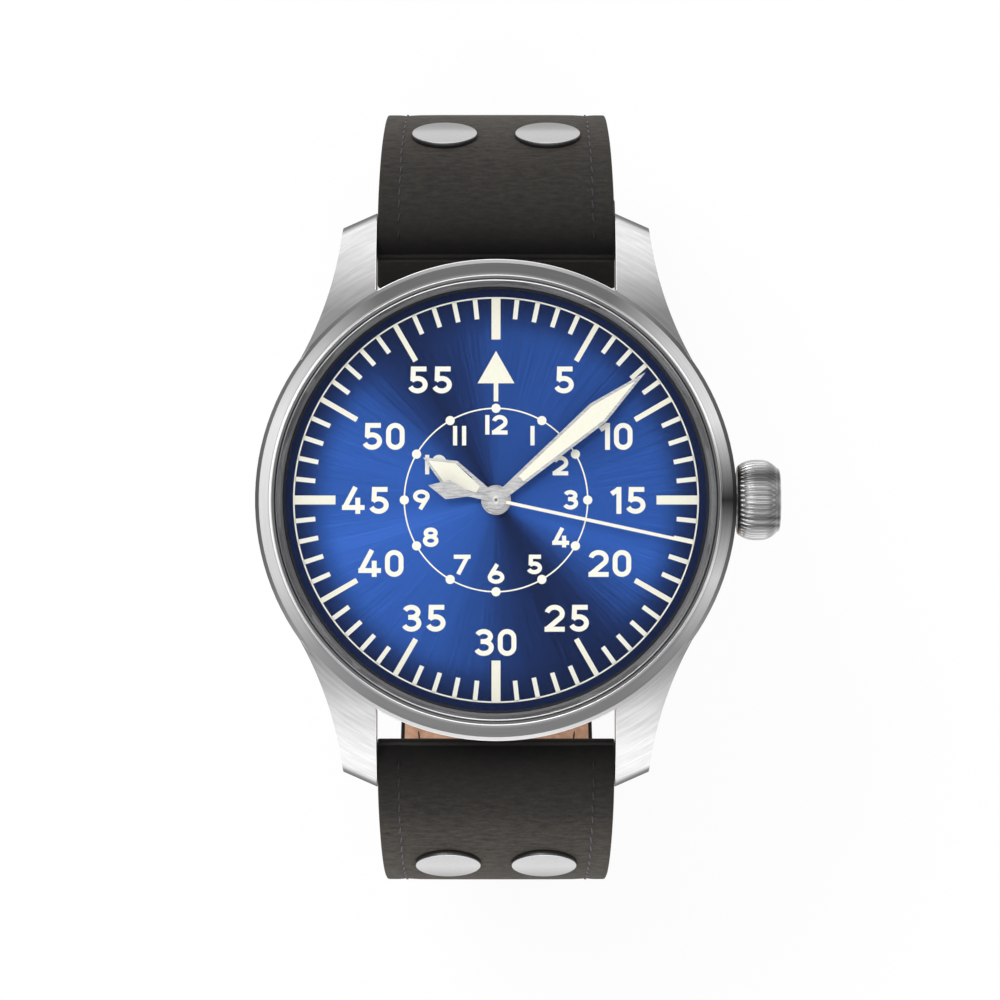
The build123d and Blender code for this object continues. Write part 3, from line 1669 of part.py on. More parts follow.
with BuildPart() as strap_6_lining:
    add(strap_layer(-1, strap_inner_radius, lining_radius, lining_start, long_strap_length))
    add(strap_plan(-1), mode=Mode.INTERSECT)
    add(rivet_holes(-1, rivet_spacing_6), mode=Mode.SUBTRACT)
    add(hole_row.part, mode=Mode.SUBTRACT)
    add(tail_corners.part, mode=Mode.SUBTRACT)

with BuildPart() as rivets_6:
    add(rivet_pair(-1, rivet_spacing_6).part)

save(strap_6, "strap_6")
save(strap_6_lining, "strap_6_lining")
save(rivets_6, "rivets_6")

# Spring bars between the lugs, with their thinner tips in the lugs' holes
with BuildPart() as spring_bars:
    with Locations((0, bar_y, bar_z), (0, -bar_y, bar_z)):
        Cylinder(bar_radius, lug_gap - 2 * bar_shoulder_gap, rotation=(0, 90, 0))
        Cylinder(bar_tip_radius, lug_gap + 2 * bar_tip_length, rotation=(0, 90, 0))

save(spring_bars, "spring_bars")

# Keepers: leather bands square to the strap, with room for the tail between them and the strap
keeper_low = strap_inner_radius - leather_gap


def keeper(distance, inner_width):
    """A keeper round the 12 o'clock half at a distance along it."""
    u, w, tilt = strap_place(distance, 0)
    across_plane = Plane(
        origin=(0, u, w),
        x_dir=(1, 0, 0),
        z_dir=(0, -cos(radians(tilt)), sin(radians(tilt))),
    )
    with BuildPart() as band:
        with BuildSketch(across_plane):
            with Locations((0, keeper_low + (strap_thickness + keeper_room) / 2)):
                RectangleRounded(
                    inner_width + 2 * keeper_thickness,
                    strap_thickness + keeper_room + 2 * keeper_thickness,
                    keeper_corner + keeper_thickness,
                )
                RectangleRounded(
                    inner_width,
                    strap_thickness + keeper_room,
                    keeper_corner,
                    mode=Mode.SUBTRACT,
                )
        extrude(amount=keeper_length / 2, both=True)
    return band


fixed_keeper = keeper(fixed_keeper_distance, strap_width + 2 * leather_gap)
floating_keeper = keeper(floating_keeper_distance, strap_end_width + 2 * floating_keeper_slack)

save(fixed_keeper, "fixed_keeper")
save(floating_keeper, "floating_keeper")

# Buckle: a bar through the strap's end, a frame that swings on it, and a tang over the front bar
arm_inner = strap_end_width / 2 + leather_gap + running_gap
arm_outer = arm_inner + buckle_arm_width
buckle_top_plane = Plane(
    origin=(0, buckle_u, buckle_w),
    x_dir=(1, 0, 0),
    z_dir=(0, sin(radians(buckle_tilt)), cos(radians(buckle_tilt))),
)
front_inner = buckle_reach - buckle_front_width

with BuildPart() as buckle_bar:
    with BuildSketch(Plane.YZ):
        with Locations((buckle_u, buckle_w)):
            Circle(buckle_bar_radius)
    extrude(amount=arm_inner + buckle_bar_tip, both=True)

with BuildPart() as buckle_frame:
    with BuildSketch(buckle_top_plane):
        with Locations((0, -buckle_heel)):
            Rectangle(2 * arm_outer, buckle_heel + buckle_reach, align=(Align.CENTER, Align.MIN))
        with Locations((0, front_inner)):
            Rectangle(
                2 * arm_inner,
                front_inner + buckle_heel + overrun,
                align=(Align.CENTER, Align.MAX),
                mode=Mode.SUBTRACT,
            )
    extrude(amount=buckle_arm_thickness / 2, both=True)
    thickness_edges = buckle_frame.edges().filter_by(Axis(buckle_top_plane.origin, buckle_top_plane.z_dir))
    fillet(thickness_edges, radius=buckle_corner)
    with BuildSketch(Plane.YZ):
        with Locations((buckle_u, buckle_w)):
            Circle(buckle_hole)
    extrude(amount=arm_inner + buckle_bar_tip + running_gap, both=True, mode=Mode.SUBTRACT)

tang_rest = buckle_arm_thickness / 2 + tip_gap

with BuildPart() as buckle_tang:
    with BuildSketch(buckle_plane):
        Circle(tang_ring_radius)
        Polygon(
            (0, tang_ring_radius - tang_thickness),
            (front_inner, tang_rest),
            (buckle_reach + tang_overhang, tang_rest),
            (buckle_reach + tang_overhang, tang_rest + tang_thickness / 2),
            (front_inner, tang_rest + tang_thickness),
            (0, tang_ring_radius),
        )
        Circle(buckle_bar_radius + tang_bore_gap, mode=Mode.SUBTRACT)
    extrude(amount=tang_width / 2, both=True)

save(buckle_bar, "buckle_bar")
save(buckle_frame, "buckle_frame")
save(buckle_tang, "buckle_tang")
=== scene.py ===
import json
import math
import random

import bmesh
import bpy
from mathutils import Matrix, Vector


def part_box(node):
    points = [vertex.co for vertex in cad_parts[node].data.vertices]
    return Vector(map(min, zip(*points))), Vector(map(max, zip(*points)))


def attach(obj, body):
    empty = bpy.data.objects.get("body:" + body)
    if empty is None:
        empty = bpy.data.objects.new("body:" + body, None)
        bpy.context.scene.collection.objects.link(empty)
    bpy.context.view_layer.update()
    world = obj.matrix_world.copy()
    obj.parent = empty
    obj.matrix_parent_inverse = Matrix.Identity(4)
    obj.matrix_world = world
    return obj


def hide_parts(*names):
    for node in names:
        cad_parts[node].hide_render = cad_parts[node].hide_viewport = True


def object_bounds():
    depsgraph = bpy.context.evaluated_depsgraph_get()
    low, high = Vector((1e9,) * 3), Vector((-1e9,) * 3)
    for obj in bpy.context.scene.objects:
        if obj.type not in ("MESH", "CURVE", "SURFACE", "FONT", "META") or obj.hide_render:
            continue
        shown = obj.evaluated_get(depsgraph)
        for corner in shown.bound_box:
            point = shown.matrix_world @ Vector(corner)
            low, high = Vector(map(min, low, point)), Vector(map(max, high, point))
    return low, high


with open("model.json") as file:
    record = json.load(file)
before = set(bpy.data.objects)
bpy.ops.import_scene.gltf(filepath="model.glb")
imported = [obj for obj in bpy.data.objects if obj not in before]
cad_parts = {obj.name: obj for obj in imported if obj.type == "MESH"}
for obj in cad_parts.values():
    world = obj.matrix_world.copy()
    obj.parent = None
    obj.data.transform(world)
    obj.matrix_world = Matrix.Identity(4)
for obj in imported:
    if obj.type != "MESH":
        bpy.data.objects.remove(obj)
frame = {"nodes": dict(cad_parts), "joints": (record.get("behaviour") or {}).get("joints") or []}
cad_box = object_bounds()

# All lengths are in metres. Angles are in degrees, but tilts and swings are in radians
mm = 0.001
random.seed(7)

# Sizes read from the frame
dial_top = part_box("dial")[1][2]
bezel_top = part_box("bezel")[1][2]
seconds_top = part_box("second_hand")[1][2]
hour_hand_low, hour_hand_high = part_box("hour_hand")
crown_low, crown_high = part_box("crown")
joints = {joint["name"]: joint for joint in frame["joints"]}
bar_y, bar_z = joints["strap_12_hinge"]["pos_m"][1:]
buckle_y, buckle_z = joints["buckle_hinge"]["pos_m"][1:]
arc_u, lower_arc_w = joints["floating_keeper_slide"]["pos_m"][1:]

# Strap: the halves follow an arc, a straight run and an arc, seen from the side
strap_outer_radius = 33.0 * mm
strap_thickness = 3.3 * mm
strap_inner_radius = strap_outer_radius - strap_thickness
strap_middle_radius = strap_outer_radius - strap_thickness / 2
lining_thickness = 0.9 * mm
lining_radius = strap_inner_radius + lining_thickness
roll_radius = 2.05 * mm
end_roll_radius = 1.65 * mm
bar_orbit = strap_outer_radius - roll_radius
start_tilt = math.asin((bar_y - arc_u) / bar_orbit)
upper_arc_w = bar_z - bar_orbit * math.cos(start_tilt)
upper_length = (math.pi / 2 - start_tilt) * strap_middle_radius
straight_length = upper_arc_w - lower_arc_w
lower_start = upper_length + straight_length
bottom_start = lower_start + math.pi / 2 * strap_middle_radius
far_start = bottom_start + 2 * arc_u
strap_width = 21.6 * mm
strap_end_width = 20.0 * mm
strap_taper_height = 68.0 * mm
buckle_swing = math.atan2(lower_arc_w - buckle_z, buckle_y - arc_u)
short_length = lower_start + buckle_swing * strap_middle_radius
buckle_reach = 10.6 * mm
tail_gap = 2.8 * mm
long_length = far_start + bottom_start - short_length - buckle_reach - tail_gap
tail_round = 8.5 * mm
strap_fullness = 0.14 * mm
strap_crown = 0.03 * mm
stitch_groove = 0.08 * mm
top_swell = 0.45 * mm
bottom_swell = -0.13 * mm
fullness_height = 20 * mm
swell_rise = (12 * mm, 1 * mm)
swell_fall = (4 * mm, 8 * mm)
pad_start = 1.7 * mm
pad_end = 5.2 * mm
groove_reach = 0.4 * mm
leather_edge_round = 0.2 * mm
underside_round_share = 0.6
tail_least = 0.3 * mm
band_step = 0.8 * mm
lining_start = 6 * mm
lining_inset = 0.35 * mm
lining_edge_round = 0.25 * mm
lining_stand = 0.06 * mm
lining_short_of_buckle = 16 * mm
lining_short_of_tail = 0.4 * mm
tang_slot_width = 2.8 * mm
tang_slot_length = 7 * mm
slot_past_end = 3 * mm
strap_hole_radius = 1.0 * mm
first_hole = 22.0 * mm
hole_pitch = 6.5 * mm
strap_hole_places = [long_length - first_hole - hole_pitch * n for n in range(7)]
stitch_inset = 1.95 * mm
stitch_pitch = 1.7 * mm
stitch_slant = 5.0
stitch_size = (0.09 * mm, 0.7 * mm, 0.1 * mm)
stitch_tweak = (0.03 * mm, 0.05 * mm)
outer_thread_start = -1.7 * mm
outer_thread_depth = 0.05 * mm
inner_thread_start = 7 * mm
inner_thread_depth = 0.07 * mm
thread_ends_12 = (62 * mm, 64 * mm)
thread_ends_6 = (93 * mm, 93 * mm)


def smooth_step(value, low, high):
    share = min(max((value - low) / (high - low), 0.0), 1.0)
    return share * share * (3 - 2 * share)


def strap_path(distance, radius):
    """A strap half's place in its side view, as (u, w), at a distance along it and a radius of its arcs."""
    if distance < upper_length:
        tilt = start_tilt + distance / strap_middle_radius
        return arc_u + radius * math.sin(tilt), upper_arc_w + radius * math.cos(tilt)
    if distance < lower_start:
        return arc_u + radius, upper_arc_w - (distance - upper_length)
    if distance < bottom_start:
        swing = (distance - lower_start) / strap_middle_radius
        return arc_u + radius * math.cos(swing), lower_arc_w - radius * math.sin(swing)
    if distance < far_start:
        return arc_u - (distance - bottom_start), lower_arc_w - radius
    swing = (distance - far_start) / strap_middle_radius
    return -arc_u - radius * math.sin(swing), lower_arc_w - radius * math.cos(swing)


def strap_half_width(height):
    share = min(max(-height / strap_taper_height, 0.0), 1.0)
    full = (1 - smooth_step(-height, 0.0, fullness_height)) * strap_fullness
    return (strap_width + (strap_end_width - strap_width) * share) / 2 + full


def strap_swell(side, distance):
    """How far a padded half stands out past its rivets, as the photograph shows at its two ends."""
    rise = smooth_step(distance, upper_length - swell_rise[0], upper_length - swell_rise[1])
    fall = 1 - smooth_step(distance, lower_start - swell_fall[0], lower_start + swell_fall[1])
    return (top_swell if side > 0 else bottom_swell) * rise * fall


def new_object(name, mesh, materials, smooth=True):
    obj = bpy.data.objects.new(name, mesh)
    bpy.context.scene.collection.objects.link(obj)
    for material in materials:
        mesh.materials.append(material)
    for polygon in mesh.polygons:
        polygon.use_smooth = smooth
    return obj


def object_from(bm, name, materials, smooth=True):
    """Makes an object of a built mesh, with its faces turned outwards."""
    bmesh.ops.recalc_face_normals(bm, faces=bm.faces)
    mesh = bpy.data.meshes.new(name)
    bm.to_mesh(mesh)
    bm.free()
    return new_object(name, mesh, materials, smooth)


def hand_over(obj, body, node=None):
    """Says which body a piece rides on and which solid it replaces."""
    if node:
        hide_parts(node)
    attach(obj, body)


def join_rings(bm, rings, indices=None):
    """Closes the skin between rings of vertices, where a ring of one vertex is a point on the axis."""
    for n, (first, second) in enumerate(zip(rings, rings[1:])):
        count = max(len(first), len(second))
        for k in range(count):
            following = (k + 1) % count
            near = [first[k % len(first)], first[following % len(first)]]
            far = [second[following % len(second)], second[k % len(second)]]
            face = bm.faces.new(list(dict.fromkeys(near + far)))
            face.material_index = indices[n] if indices else 0


def mesh_of(name, points, uvs, faces, indices=()):
    """A mesh with a UV map, and a material index for each face."""
    mesh = bpy.data.meshes.new(name)
    mesh.from_pydata(points, [], faces)
    for polygon, index in zip(mesh.polygons, indices):
        polygon.material_index = index
    mesh.validate()
    mesh.update()
    layer = mesh.uv_layers.new(name="UVMap")
    for loop in mesh.loops:
        layer.data[loop.index].uv = uvs[loop.vertex_index]
    return mesh


def apply_modifiers(obj):
    """Replaces an object's mesh with the one that its modifiers make."""
    graph = bpy.context.evaluated_depsgraph_get()
    mesh = bpy.data.meshes.new_from_object(obj.evaluated_get(graph))
    obj.modifiers.clear()
    old = obj.data
    obj.data = mesh
    bpy.data.meshes.remove(old)


def polar(radius, angle):
    return radius * math.cos(math.radians(angle)), radius * math.sin(math.radians(angle))


# Depths of the materials' grain, and the scales of their lines along X, Y and Z
edge_soft = 0.02 * mm
brushed_depth = 0.004 * mm
turned_depth = 0.002 * mm
polished_depth = 0.0005 * mm
hands_depth = 0.006 * mm
rivet_depth = 0.001 * mm
nap_depth = 0.05 * mm
streak_depth = 0.06 * mm
glass_depth = 0.0002 * mm
grain_scales = {
    "x": (220.0, 5200.0, 5200.0),
    "hands": (1100.0, 7000.0, 7000.0),
    "fine": (3500.0, 3500.0, 3500.0),
}
side_fade = (0.3, 0.85)


class Nodes:
    """A short way to write the node tree of a material or of the world."""

    def __init__(self, owner, coords="Object"):
        self.material = bpy.data.materials.new(owner) if isinstance(owner, str) else owner
        self.material.use_nodes = True
        self.tree = self.material.node_tree
        self.shader = self.tree.nodes.get("Principled BSDF")
        self.coords = self.tree.nodes.new("ShaderNodeTexCoord").outputs[coords]

    def node(self, kind, inputs=None, **settings):
        node = self.tree.nodes.new("ShaderNode" + kind)
        for name, value in settings.items():
            setattr(node, name, value)
        for name, value in (inputs or {}).items():
            self.put(value, node.inputs[name])
        return node

    def put(self, value, socket):
        if isinstance(value, bpy.types.NodeSocket):
            self.tree.links.new(value, socket)
        else:
            socket.default_value = value

    def set(self, **values):
        for name, value in values.items():
            self.put(value, self.shader.inputs[name.replace("_", " ")])

    def math(self, operation, first, second=0.0, clamp=False):
        node = self.node("Math", {0: first, 1: second}, operation=operation, use_clamp=clamp)
        return node.outputs[0]

    def noise(self, vector, scale, detail=2.0, roughness=0.5):
        inputs = {"Vector": vector, "Scale": scale, "Detail": detail, "Roughness": roughness}
        return self.node("TexNoise", inputs).outputs["Fac"]

    def stretched(self, x, y, z, source=None):
        vector = self.node("VectorMath", {0: source or self.coords, 1: (x, y, z)}, operation="MULTIPLY")
        return vector.outputs[0]

    def ramp(self, value, stops):
        node = self.node("ValToRGB", {"Fac": value})
        elements = node.color_ramp.elements
        elements[0].position, elements[1].position = stops[0][0], stops[-1][0]
        for place, _ in stops[1:-1]:
            elements.new(place)
        for element, (place, colour) in zip(elements, stops):
            element.color = (*colour, 1.0)
        return node.outputs["Color"]

    def map_range(self, value, low=0.0, high=1.0, to_low=0.0, to_high=1.0, **settings):
        names = ("Value", "From Min", "From Max", "To Min", "To Max")
        inputs = dict(zip(names, (value, low, high, to_low, to_high)))
        return self.node("MapRange", inputs, **settings).outputs[0]

    def greys(self, value, spread, dark, light):
        """A grey that goes from dark to light about the middle of a noise."""
        return self.ramp(value, [(0.5 - spread, (dark,) * 3), (0.5 + spread, (light,) * 3)])

    def tones(self, value, levels, unit=1.0):
        """Grey levels, as read from a picture, at their places along a value."""
        places = [place * unit for place in levels]
        low, high = places[0], places[-1]
        colours = [srgb(level, level, level) for level in levels.values()]
        stops = [((place - low) / (high - low), colour) for place, colour in zip(places, colours)]
        return self.ramp(self.map_range(value, low, high), stops)

    def by_angle(self, turn, levels):
        return self.tones(self.math("MULTIPLY", turn, 180.0), levels)

    def mix(self, share, first, second, blend="MIX"):
        node = self.node("Mix", data_type="RGBA", blend_type=blend)
        self.put(share, node.inputs[0])
        for value, socket in ((first, node.inputs[6]), (second, node.inputs[7])):
            self.put((*value, 1.0) if isinstance(value, tuple) else value, socket)
        return node.outputs[2]

    def times(self, first, second):
        return self.mix(1.0, first, second, "MULTIPLY")

    def beyond(self, value, edge, soft=edge_soft):
        """0 below an edge and 1 above it, with a narrow blend."""
        return self.map_range(value, edge - soft, edge + soft)

    def bump(self, height, distance, strength=1.0, normal=None):
        inputs = {"Height": height, "Distance": distance, "Strength": strength}
        if normal:
            inputs["Normal"] = normal
        return self.node("Bump", inputs).outputs["Normal"]

    def axis(self, name):
        return self.node("SeparateXYZ", {0: self.coords}).outputs[name]

    def aside(self, name):
        """The distance from the middle along one axis."""
        return self.math("ABSOLUTE", self.axis(name))

    def scaled(self, values, scales):
        """A vector of three values, each times its own scale."""
        products = [self.math("MULTIPLY", value, scale) for value, scale in zip(values, scales)]
        return self.node("CombineXYZ", dict(enumerate(products))).outputs[0]

    def polar(self):
        """The angle about +Z from -1 to 1, the distance from it, and the height, in metres."""
        x, y = self.axis("X"), self.axis("Y")
        turn = self.math("DIVIDE", self.math("ARCTAN2", y, x), math.pi)
        flat = self.node("CombineXYZ", {0: x, 1: y}).outputs[0]
        radius = self.node("VectorMath", {0: flat}, operation="LENGTH").outputs["Value"]
        return turn, radius, self.axis("Z")

    def finish(self, colour, roughness, fine, depth, strength, metallic=1.0):
        """Fills in the shader, with a bump of the fine grain."""
        self.set(Base_Color=colour, Metallic=metallic, Roughness=roughness)
        self.set(Normal=self.bump(fine, depth, strength))
        return self.material


def srgb(red, green, blue):
    """A colour as read from a picture, 0 to 255, in the linear values that a shader takes."""
    values = []
    for value in (red, green, blue):
        share = value / 255
        values.append(share / 12.92 if share <= 0.04045 else ((share + 0.055) / 1.055) ** 2.4)
    return tuple(values)


def steel_material(name, grey, roughness, grain="circular", depth=brushed_depth, contrast=0.1):
    """Brushed steel, whose fine grain runs round the case, along X, as on the hands, or all ways."""
    nodes = Nodes(name)
    if grain == "circular":
        lines = nodes.scaled(nodes.polar(), (5.0, 3600.0, 900.0))
    else:
        lines = nodes.stretched(*grain_scales[grain])
    fine = nodes.noise(lines, 1.0, 5.0, 0.72)
    cloud = nodes.noise(nodes.coords, 160.0, 3.0)
    tone = nodes.greys(fine, 0.17, grey * (1 - contrast), min(grey * (1 + contrast), 1.0))
    rough = nodes.map_range(cloud, 0.0, 1.0, roughness * 0.85, roughness * 1.15)
    return nodes.finish(tone, rough, fine, depth, 0.6)


def case_material():
    """The case: a rim whose tone turns with the light, as painted light by angle, and brushed lugs with
    painted shade that makes them darker inwards and on their tips.
    """
    nodes = Nodes("steel_case")
    turn, radius, height = nodes.polar()
    fine = nodes.noise(nodes.scaled((turn, radius, height), (5.0, 3300.0, 900.0)), 1.0, 5.0, 0.72)
    # Painted light and shade on the lugs: grey levels along Y, darker next to the case
    lug = nodes.times(nodes.tones(nodes.axis("Y"), lug_painted_light_levels, mm), nodes.greys(fine, 0.2, 0.72, 1.0))
    slant = nodes.math("MULTIPLY", nodes.math("SUBTRACT", nodes.aside("X"), lug_inner_x), lug_tip_slope)
    # Painted shade: a darker band across the lugs' tips
    tip_shade_mask = nodes.beyond(nodes.math("ADD", nodes.aside("Y"), slant), lug_tip_start, lug_tip_soft)
    lug = nodes.mix(tip_shade_mask, lug, srgb(*[lug_tip_painted_shade] * 3))
    tone = nodes.mix(nodes.beyond(radius, rim_radius), nodes.by_angle(turn, rim_painted_light_levels), lug)
    return nodes.finish(tone, 0.42, fine, brushed_depth, 0.5)


def bezel_material():
    """The bezel: a brushed slope with painted light that makes it bright to the sides, and darker flats with
    a turned grain and painted light by angle.
    """
    nodes = Nodes("steel_bezel")
    turn, radius, height = nodes.polar()
    fine = nodes.noise(nodes.scaled((turn, radius, height), (7.0, 5200.0, 1200.0)), 1.0, 4.0, 0.7)
    # Painted light: grey levels by angle round the case, for the flats and for the slope
    flat = nodes.by_angle(turn, flat_painted_light_levels)
    slope = nodes.by_angle(turn, slope_painted_light_levels)
    tone = nodes.mix(nodes.beyond(radius, bezel_ridge_radius), flat, slope)
    tone = nodes.times(tone, nodes.greys(fine, 0.2, 0.86, 1.0))
    return nodes.finish(tone, 0.4, fine, turned_depth, 0.4)


def line_material(name, levels):
    """A bright turned edge whose tone changes with the angle round the case, as the light does."""
    nodes = Nodes(name)
    grain = nodes.greys(nodes.noise(nodes.coords, 3000.0, 3.0), 0.15, 0.94, 1.0)
    tone = nodes.times(nodes.by_angle(nodes.polar()[0], levels), grain)
    nodes.set(Base_Color=tone, Metallic=1.0, Roughness=0.3)
    return nodes.material


def needle_material():
    """The second hand: a cream needle from the hub outwards, and a brushed grey hub and tail."""
    nodes = Nodes("second_hand_two_tone")
    along_x, along_y = polar(1.0, 90 - second_hand_angle)
    along = nodes.math("ADD", nodes.math("MULTIPLY", nodes.axis("X"), along_x),
                       nodes.math("MULTIPLY", nodes.axis("Y"), along_y))
    needle = nodes.beyond(along, needle_start)
    fine = nodes.noise(nodes.stretched(*grain_scales["hands"]), 1.0, 5.0, 0.72)
    nodes.set(Base_Color=nodes.mix(needle, nodes.greys(fine, 0.17, 0.36, 0.72), srgb(250, 248, 230)))
    nodes.set(Metallic=nodes.math("SUBTRACT", 1.0, needle), Roughness=0.4)
    return nodes.material


def plain_material(name, colour, roughness, metallic=0.0, grain=4000.0, change=0.12):
    """A surface with a slight cloudiness and a fine grain."""
    nodes = Nodes(name)
    fine = nodes.noise(nodes.coords, grain, 3.0)
    dark = tuple(value * (1 - change) for value in colour)
    light = tuple(min(value * (1 + change), 1.0) for value in colour)
    tone = nodes.ramp(fine, [(0.35, dark), (0.65, light)])
    return nodes.finish(tone, roughness, fine, turned_depth, 0.5, metallic)


# The dial's sunburst as painted light: its brightness at angles in degrees about +Z from the 3 o'clock side
sunburst_painted_light_shares = {
    -180: 0.62, -165: 0.8, -150: 0.7, -120: 0.58, -97: 0.38, -82: 0.18, -67: 0.03, -52: 0.05, -37: 0.42,
    -22: 0.68, 0: 0.57, 15: 0.56, 30: 0.43, 60: 0.46, 90: 0.42, 105: 0.18, 120: 0.03, 130: 0.18, 142: 0.5,
    160: 0.68, 180: 0.62,
}


def dial_material():
    """Blue lacquer over a sunburst: fine rays, broad lighter and darker sectors of painted light, and painted
    shade that darkens it to navy at its edge.
    """
    nodes = Nodes("dial_sunburst")
    turn, radius, _ = nodes.polar()
    angle = nodes.math("MULTIPLY", turn, math.pi)
    around = (nodes.math("COSINE", angle), nodes.math("SINE", angle), radius)
    rays = nodes.noise(nodes.scaled(around, (100.0, 100.0, 120.0)), 1.0, 4.0, 0.7)
    stops = [((place + 180) / 360, (share,) * 3) for place, share in sunburst_painted_light_shares.items()]
    sectors = nodes.ramp(nodes.map_range(turn, -1.0, 1.0), stops)
    streaks = nodes.math("MULTIPLY", nodes.math("SUBTRACT", rays, 0.5), 0.55)
    level = nodes.math("ADD", sectors, streaks, clamp=True)
    # Painted shade: the dial darkens towards its edge
    edge = nodes.map_range(
        radius, dial_edge_painted_shade_start, dial_edge_painted_shade_end, 1.0, 0.0, interpolation_type="SMOOTHSTEP",
    )
    colour = nodes.ramp(nodes.math("MULTIPLY", level, edge), [
        (0.0, srgb(19, 33, 72)),
        (0.25, srgb(30, 57, 115)),
        (0.5, srgb(41, 81, 158)),
        (0.7, srgb(50, 96, 184)),
        (1.0, srgb(70, 120, 222)),
    ])
    nodes.set(Specular_IOR_Level=0.04)
    return nodes.finish(colour, 0.45, rays, brushed_depth, 0.35, 0.0)


def crown_material():
    """The crown: painted reflections as bands of light and dark steel along its ridges, and painted shade on
    the end next to the case.
    """
    nodes = Nodes("steel_crown")
    fine = nodes.noise(nodes.stretched(*grain_scales["x"]), 1.0, 5.0, 0.72)
    # Painted reflections across the crown, and painted shade along it next to the case
    bands = nodes.tones(nodes.axis("Y"), crown_painted_reflection_levels, mm)
    ends = nodes.tones(nodes.axis("X"), crown_end_painted_shade_levels, mm)
    tone = nodes.times(nodes.times(bands, ends), nodes.greys(fine, 0.2, 0.86, 1.0))
    return nodes.finish(tone, 0.3, fine, turned_depth, 0.4)


def rivet_material():
    """The rivets' faces: satin steel, with painted shade that makes them darker towards the far ends of the
    strap.
    """
    nodes = Nodes("rivet_face")
    fine = nodes.noise(nodes.coords, 4200.0, 3.0)
    # Painted shade on the rivets' faces, along Y
    tone = nodes.times(nodes.tones(nodes.axis("Y"), rivet_painted_shade_levels, mm), nodes.greys(fine, 0.15, 0.95, 1.0))
    return nodes.finish(tone, 0.45, fine, rivet_depth, 0.3)


def leather_material(name, dark, light, streak=(750.0, 2100.0), shaded=False):
    """Nubuck: short pale streaks across the strap, a soft nap and slight scuffs; when shaded, painted shade
    near the case and painted light farther out.
    """
    nodes = Nodes(name)
    place = nodes.node("UVMap").outputs["UV"]
    streaks = nodes.noise(nodes.stretched(*streak, 1.0, place), 1.0, 5.0, 0.65)
    nap = nodes.noise(nodes.coords, 2600.0, 4.0, 0.7)
    cloud = nodes.noise(nodes.coords, 110.0, 3.0)
    mixed = nodes.math("ADD", nodes.math("MULTIPLY", streaks, 0.62), nodes.math("MULTIPLY", nap, 0.26))
    mixed = nodes.math("ADD", mixed, nodes.math("MULTIPLY", cloud, 0.12))
    middle = tuple((low + high) / 2 for low, high in zip(dark, light))
    colour = nodes.ramp(mixed, [(0.36, dark), (0.5, middle), (0.64, light)])
    # Painted shade darkens the leather near the case and painted light lightens it farther out, along Y
    if shaded:
        colour = nodes.times(colour, nodes.tones(nodes.axis("Y"), leather_painted_light_levels, mm))
    normal = nodes.bump(nap, nap_depth, 0.4, nodes.bump(streaks, streak_depth, 0.45))
    nodes.set(Base_Color=colour, Roughness=0.86, Normal=normal, Specular_IOR_Level=0.25)
    nodes.set(Sheen_Weight=0.1, Sheen_Roughness=0.5, Sheen_Tint=(*light, 1.0))
    return nodes.material


def crystal_material():
    """Clear mineral glass: only its faint reflections show over the dial."""
    nodes = Nodes("crystal_clear")
    fine = nodes.noise(nodes.coords, 900.0, 2.0)
    nodes.set(Base_Color=(0.02, 0.025, 0.03, 1.0), Roughness=0.03, Alpha=0.05)
    nodes.set(Normal=nodes.bump(fine, glass_depth, 0.1))
    return nodes.material


def floor_material():
    """White floor that shows as white to the eye and in metal, and keeps a faint shadow.

    Far away it falls off to grey in front of the watch and behind it, as a studio sweep does.
    """
    nodes = Nodes("floor_white")
    nodes.set(Base_Color=(0.9, 0.9, 0.9, 1.0), Roughness=0.9)
    away = nodes.node("VectorMath", {0: nodes.coords}, operation="LENGTH").outputs["Value"]
    towards = nodes.math("DIVIDE", nodes.aside("Y"), nodes.math("ADD", away, mm))
    by_side = nodes.map_range(towards, *side_fade)
    by_distance = nodes.map_range(away, floor_fade_start, floor_fade_end)
    fade = nodes.math("MULTIPLY", by_side, by_distance)
    level = nodes.map_range(fade, 0.0, 1.0, 1.0, floor_far_level)
    glow = nodes.node("Emission", {"Color": (1.0, 1.0, 1.0, 1.0), "Strength": level})
    path = nodes.node("LightPath").outputs
    seen = nodes.math("MAXIMUM", path["Is Camera Ray"], path["Is Glossy Ray"])
    seen = nodes.math("MAXIMUM", seen, path["Is Transmission Ray"])
    share = nodes.math("MULTIPLY", seen, 0.9)
    blend = nodes.node("MixShader", {0: share, 1: nodes.shader.outputs[0], 2: glow.outputs[0]})
    nodes.put(blend.outputs[0], nodes.tree.nodes["Material Output"].inputs["Surface"])
    return nodes.material


floor_fade_start = 110 * mm
floor_fade_end = 260 * mm
floor_far_level = 0.42
rim_radius = 21.98 * mm
bezel_ridge_radius = 20.39 * mm
bezel_inner_radius = 19.94 * mm
second_hand_angle = 102.2
needle_start = 0.95 * mm
# Painted light on the case's rim: grey levels by angle round the case
rim_painted_light_levels = {
    -180: 108, -160: 138, -140: 195, -120: 232, -100: 232, -80: 236, -60: 218, -40: 195, -20: 134, 0: 52,
    20: 112, 40: 124, 60: 162, 80: 196, 100: 186, 120: 156, 140: 136, 160: 134, 180: 108,
}
# Painted light on the bezel's slope and flats: grey levels by angle round the case
slope_painted_light_levels = {
    -180: 242, -160: 232, -140: 176, -120: 160, -100: 149, -80: 147, -60: 152, -40: 160, -20: 226, -8: 150,
    0: 44, 8: 150, 20: 250, 40: 238, 60: 136, 80: 124, 100: 130, 120: 133, 140: 222, 160: 253, 180: 242,
}
flat_painted_light_levels = {-180: 100, -90: 108, 0: 98, 90: 110, 180: 100}
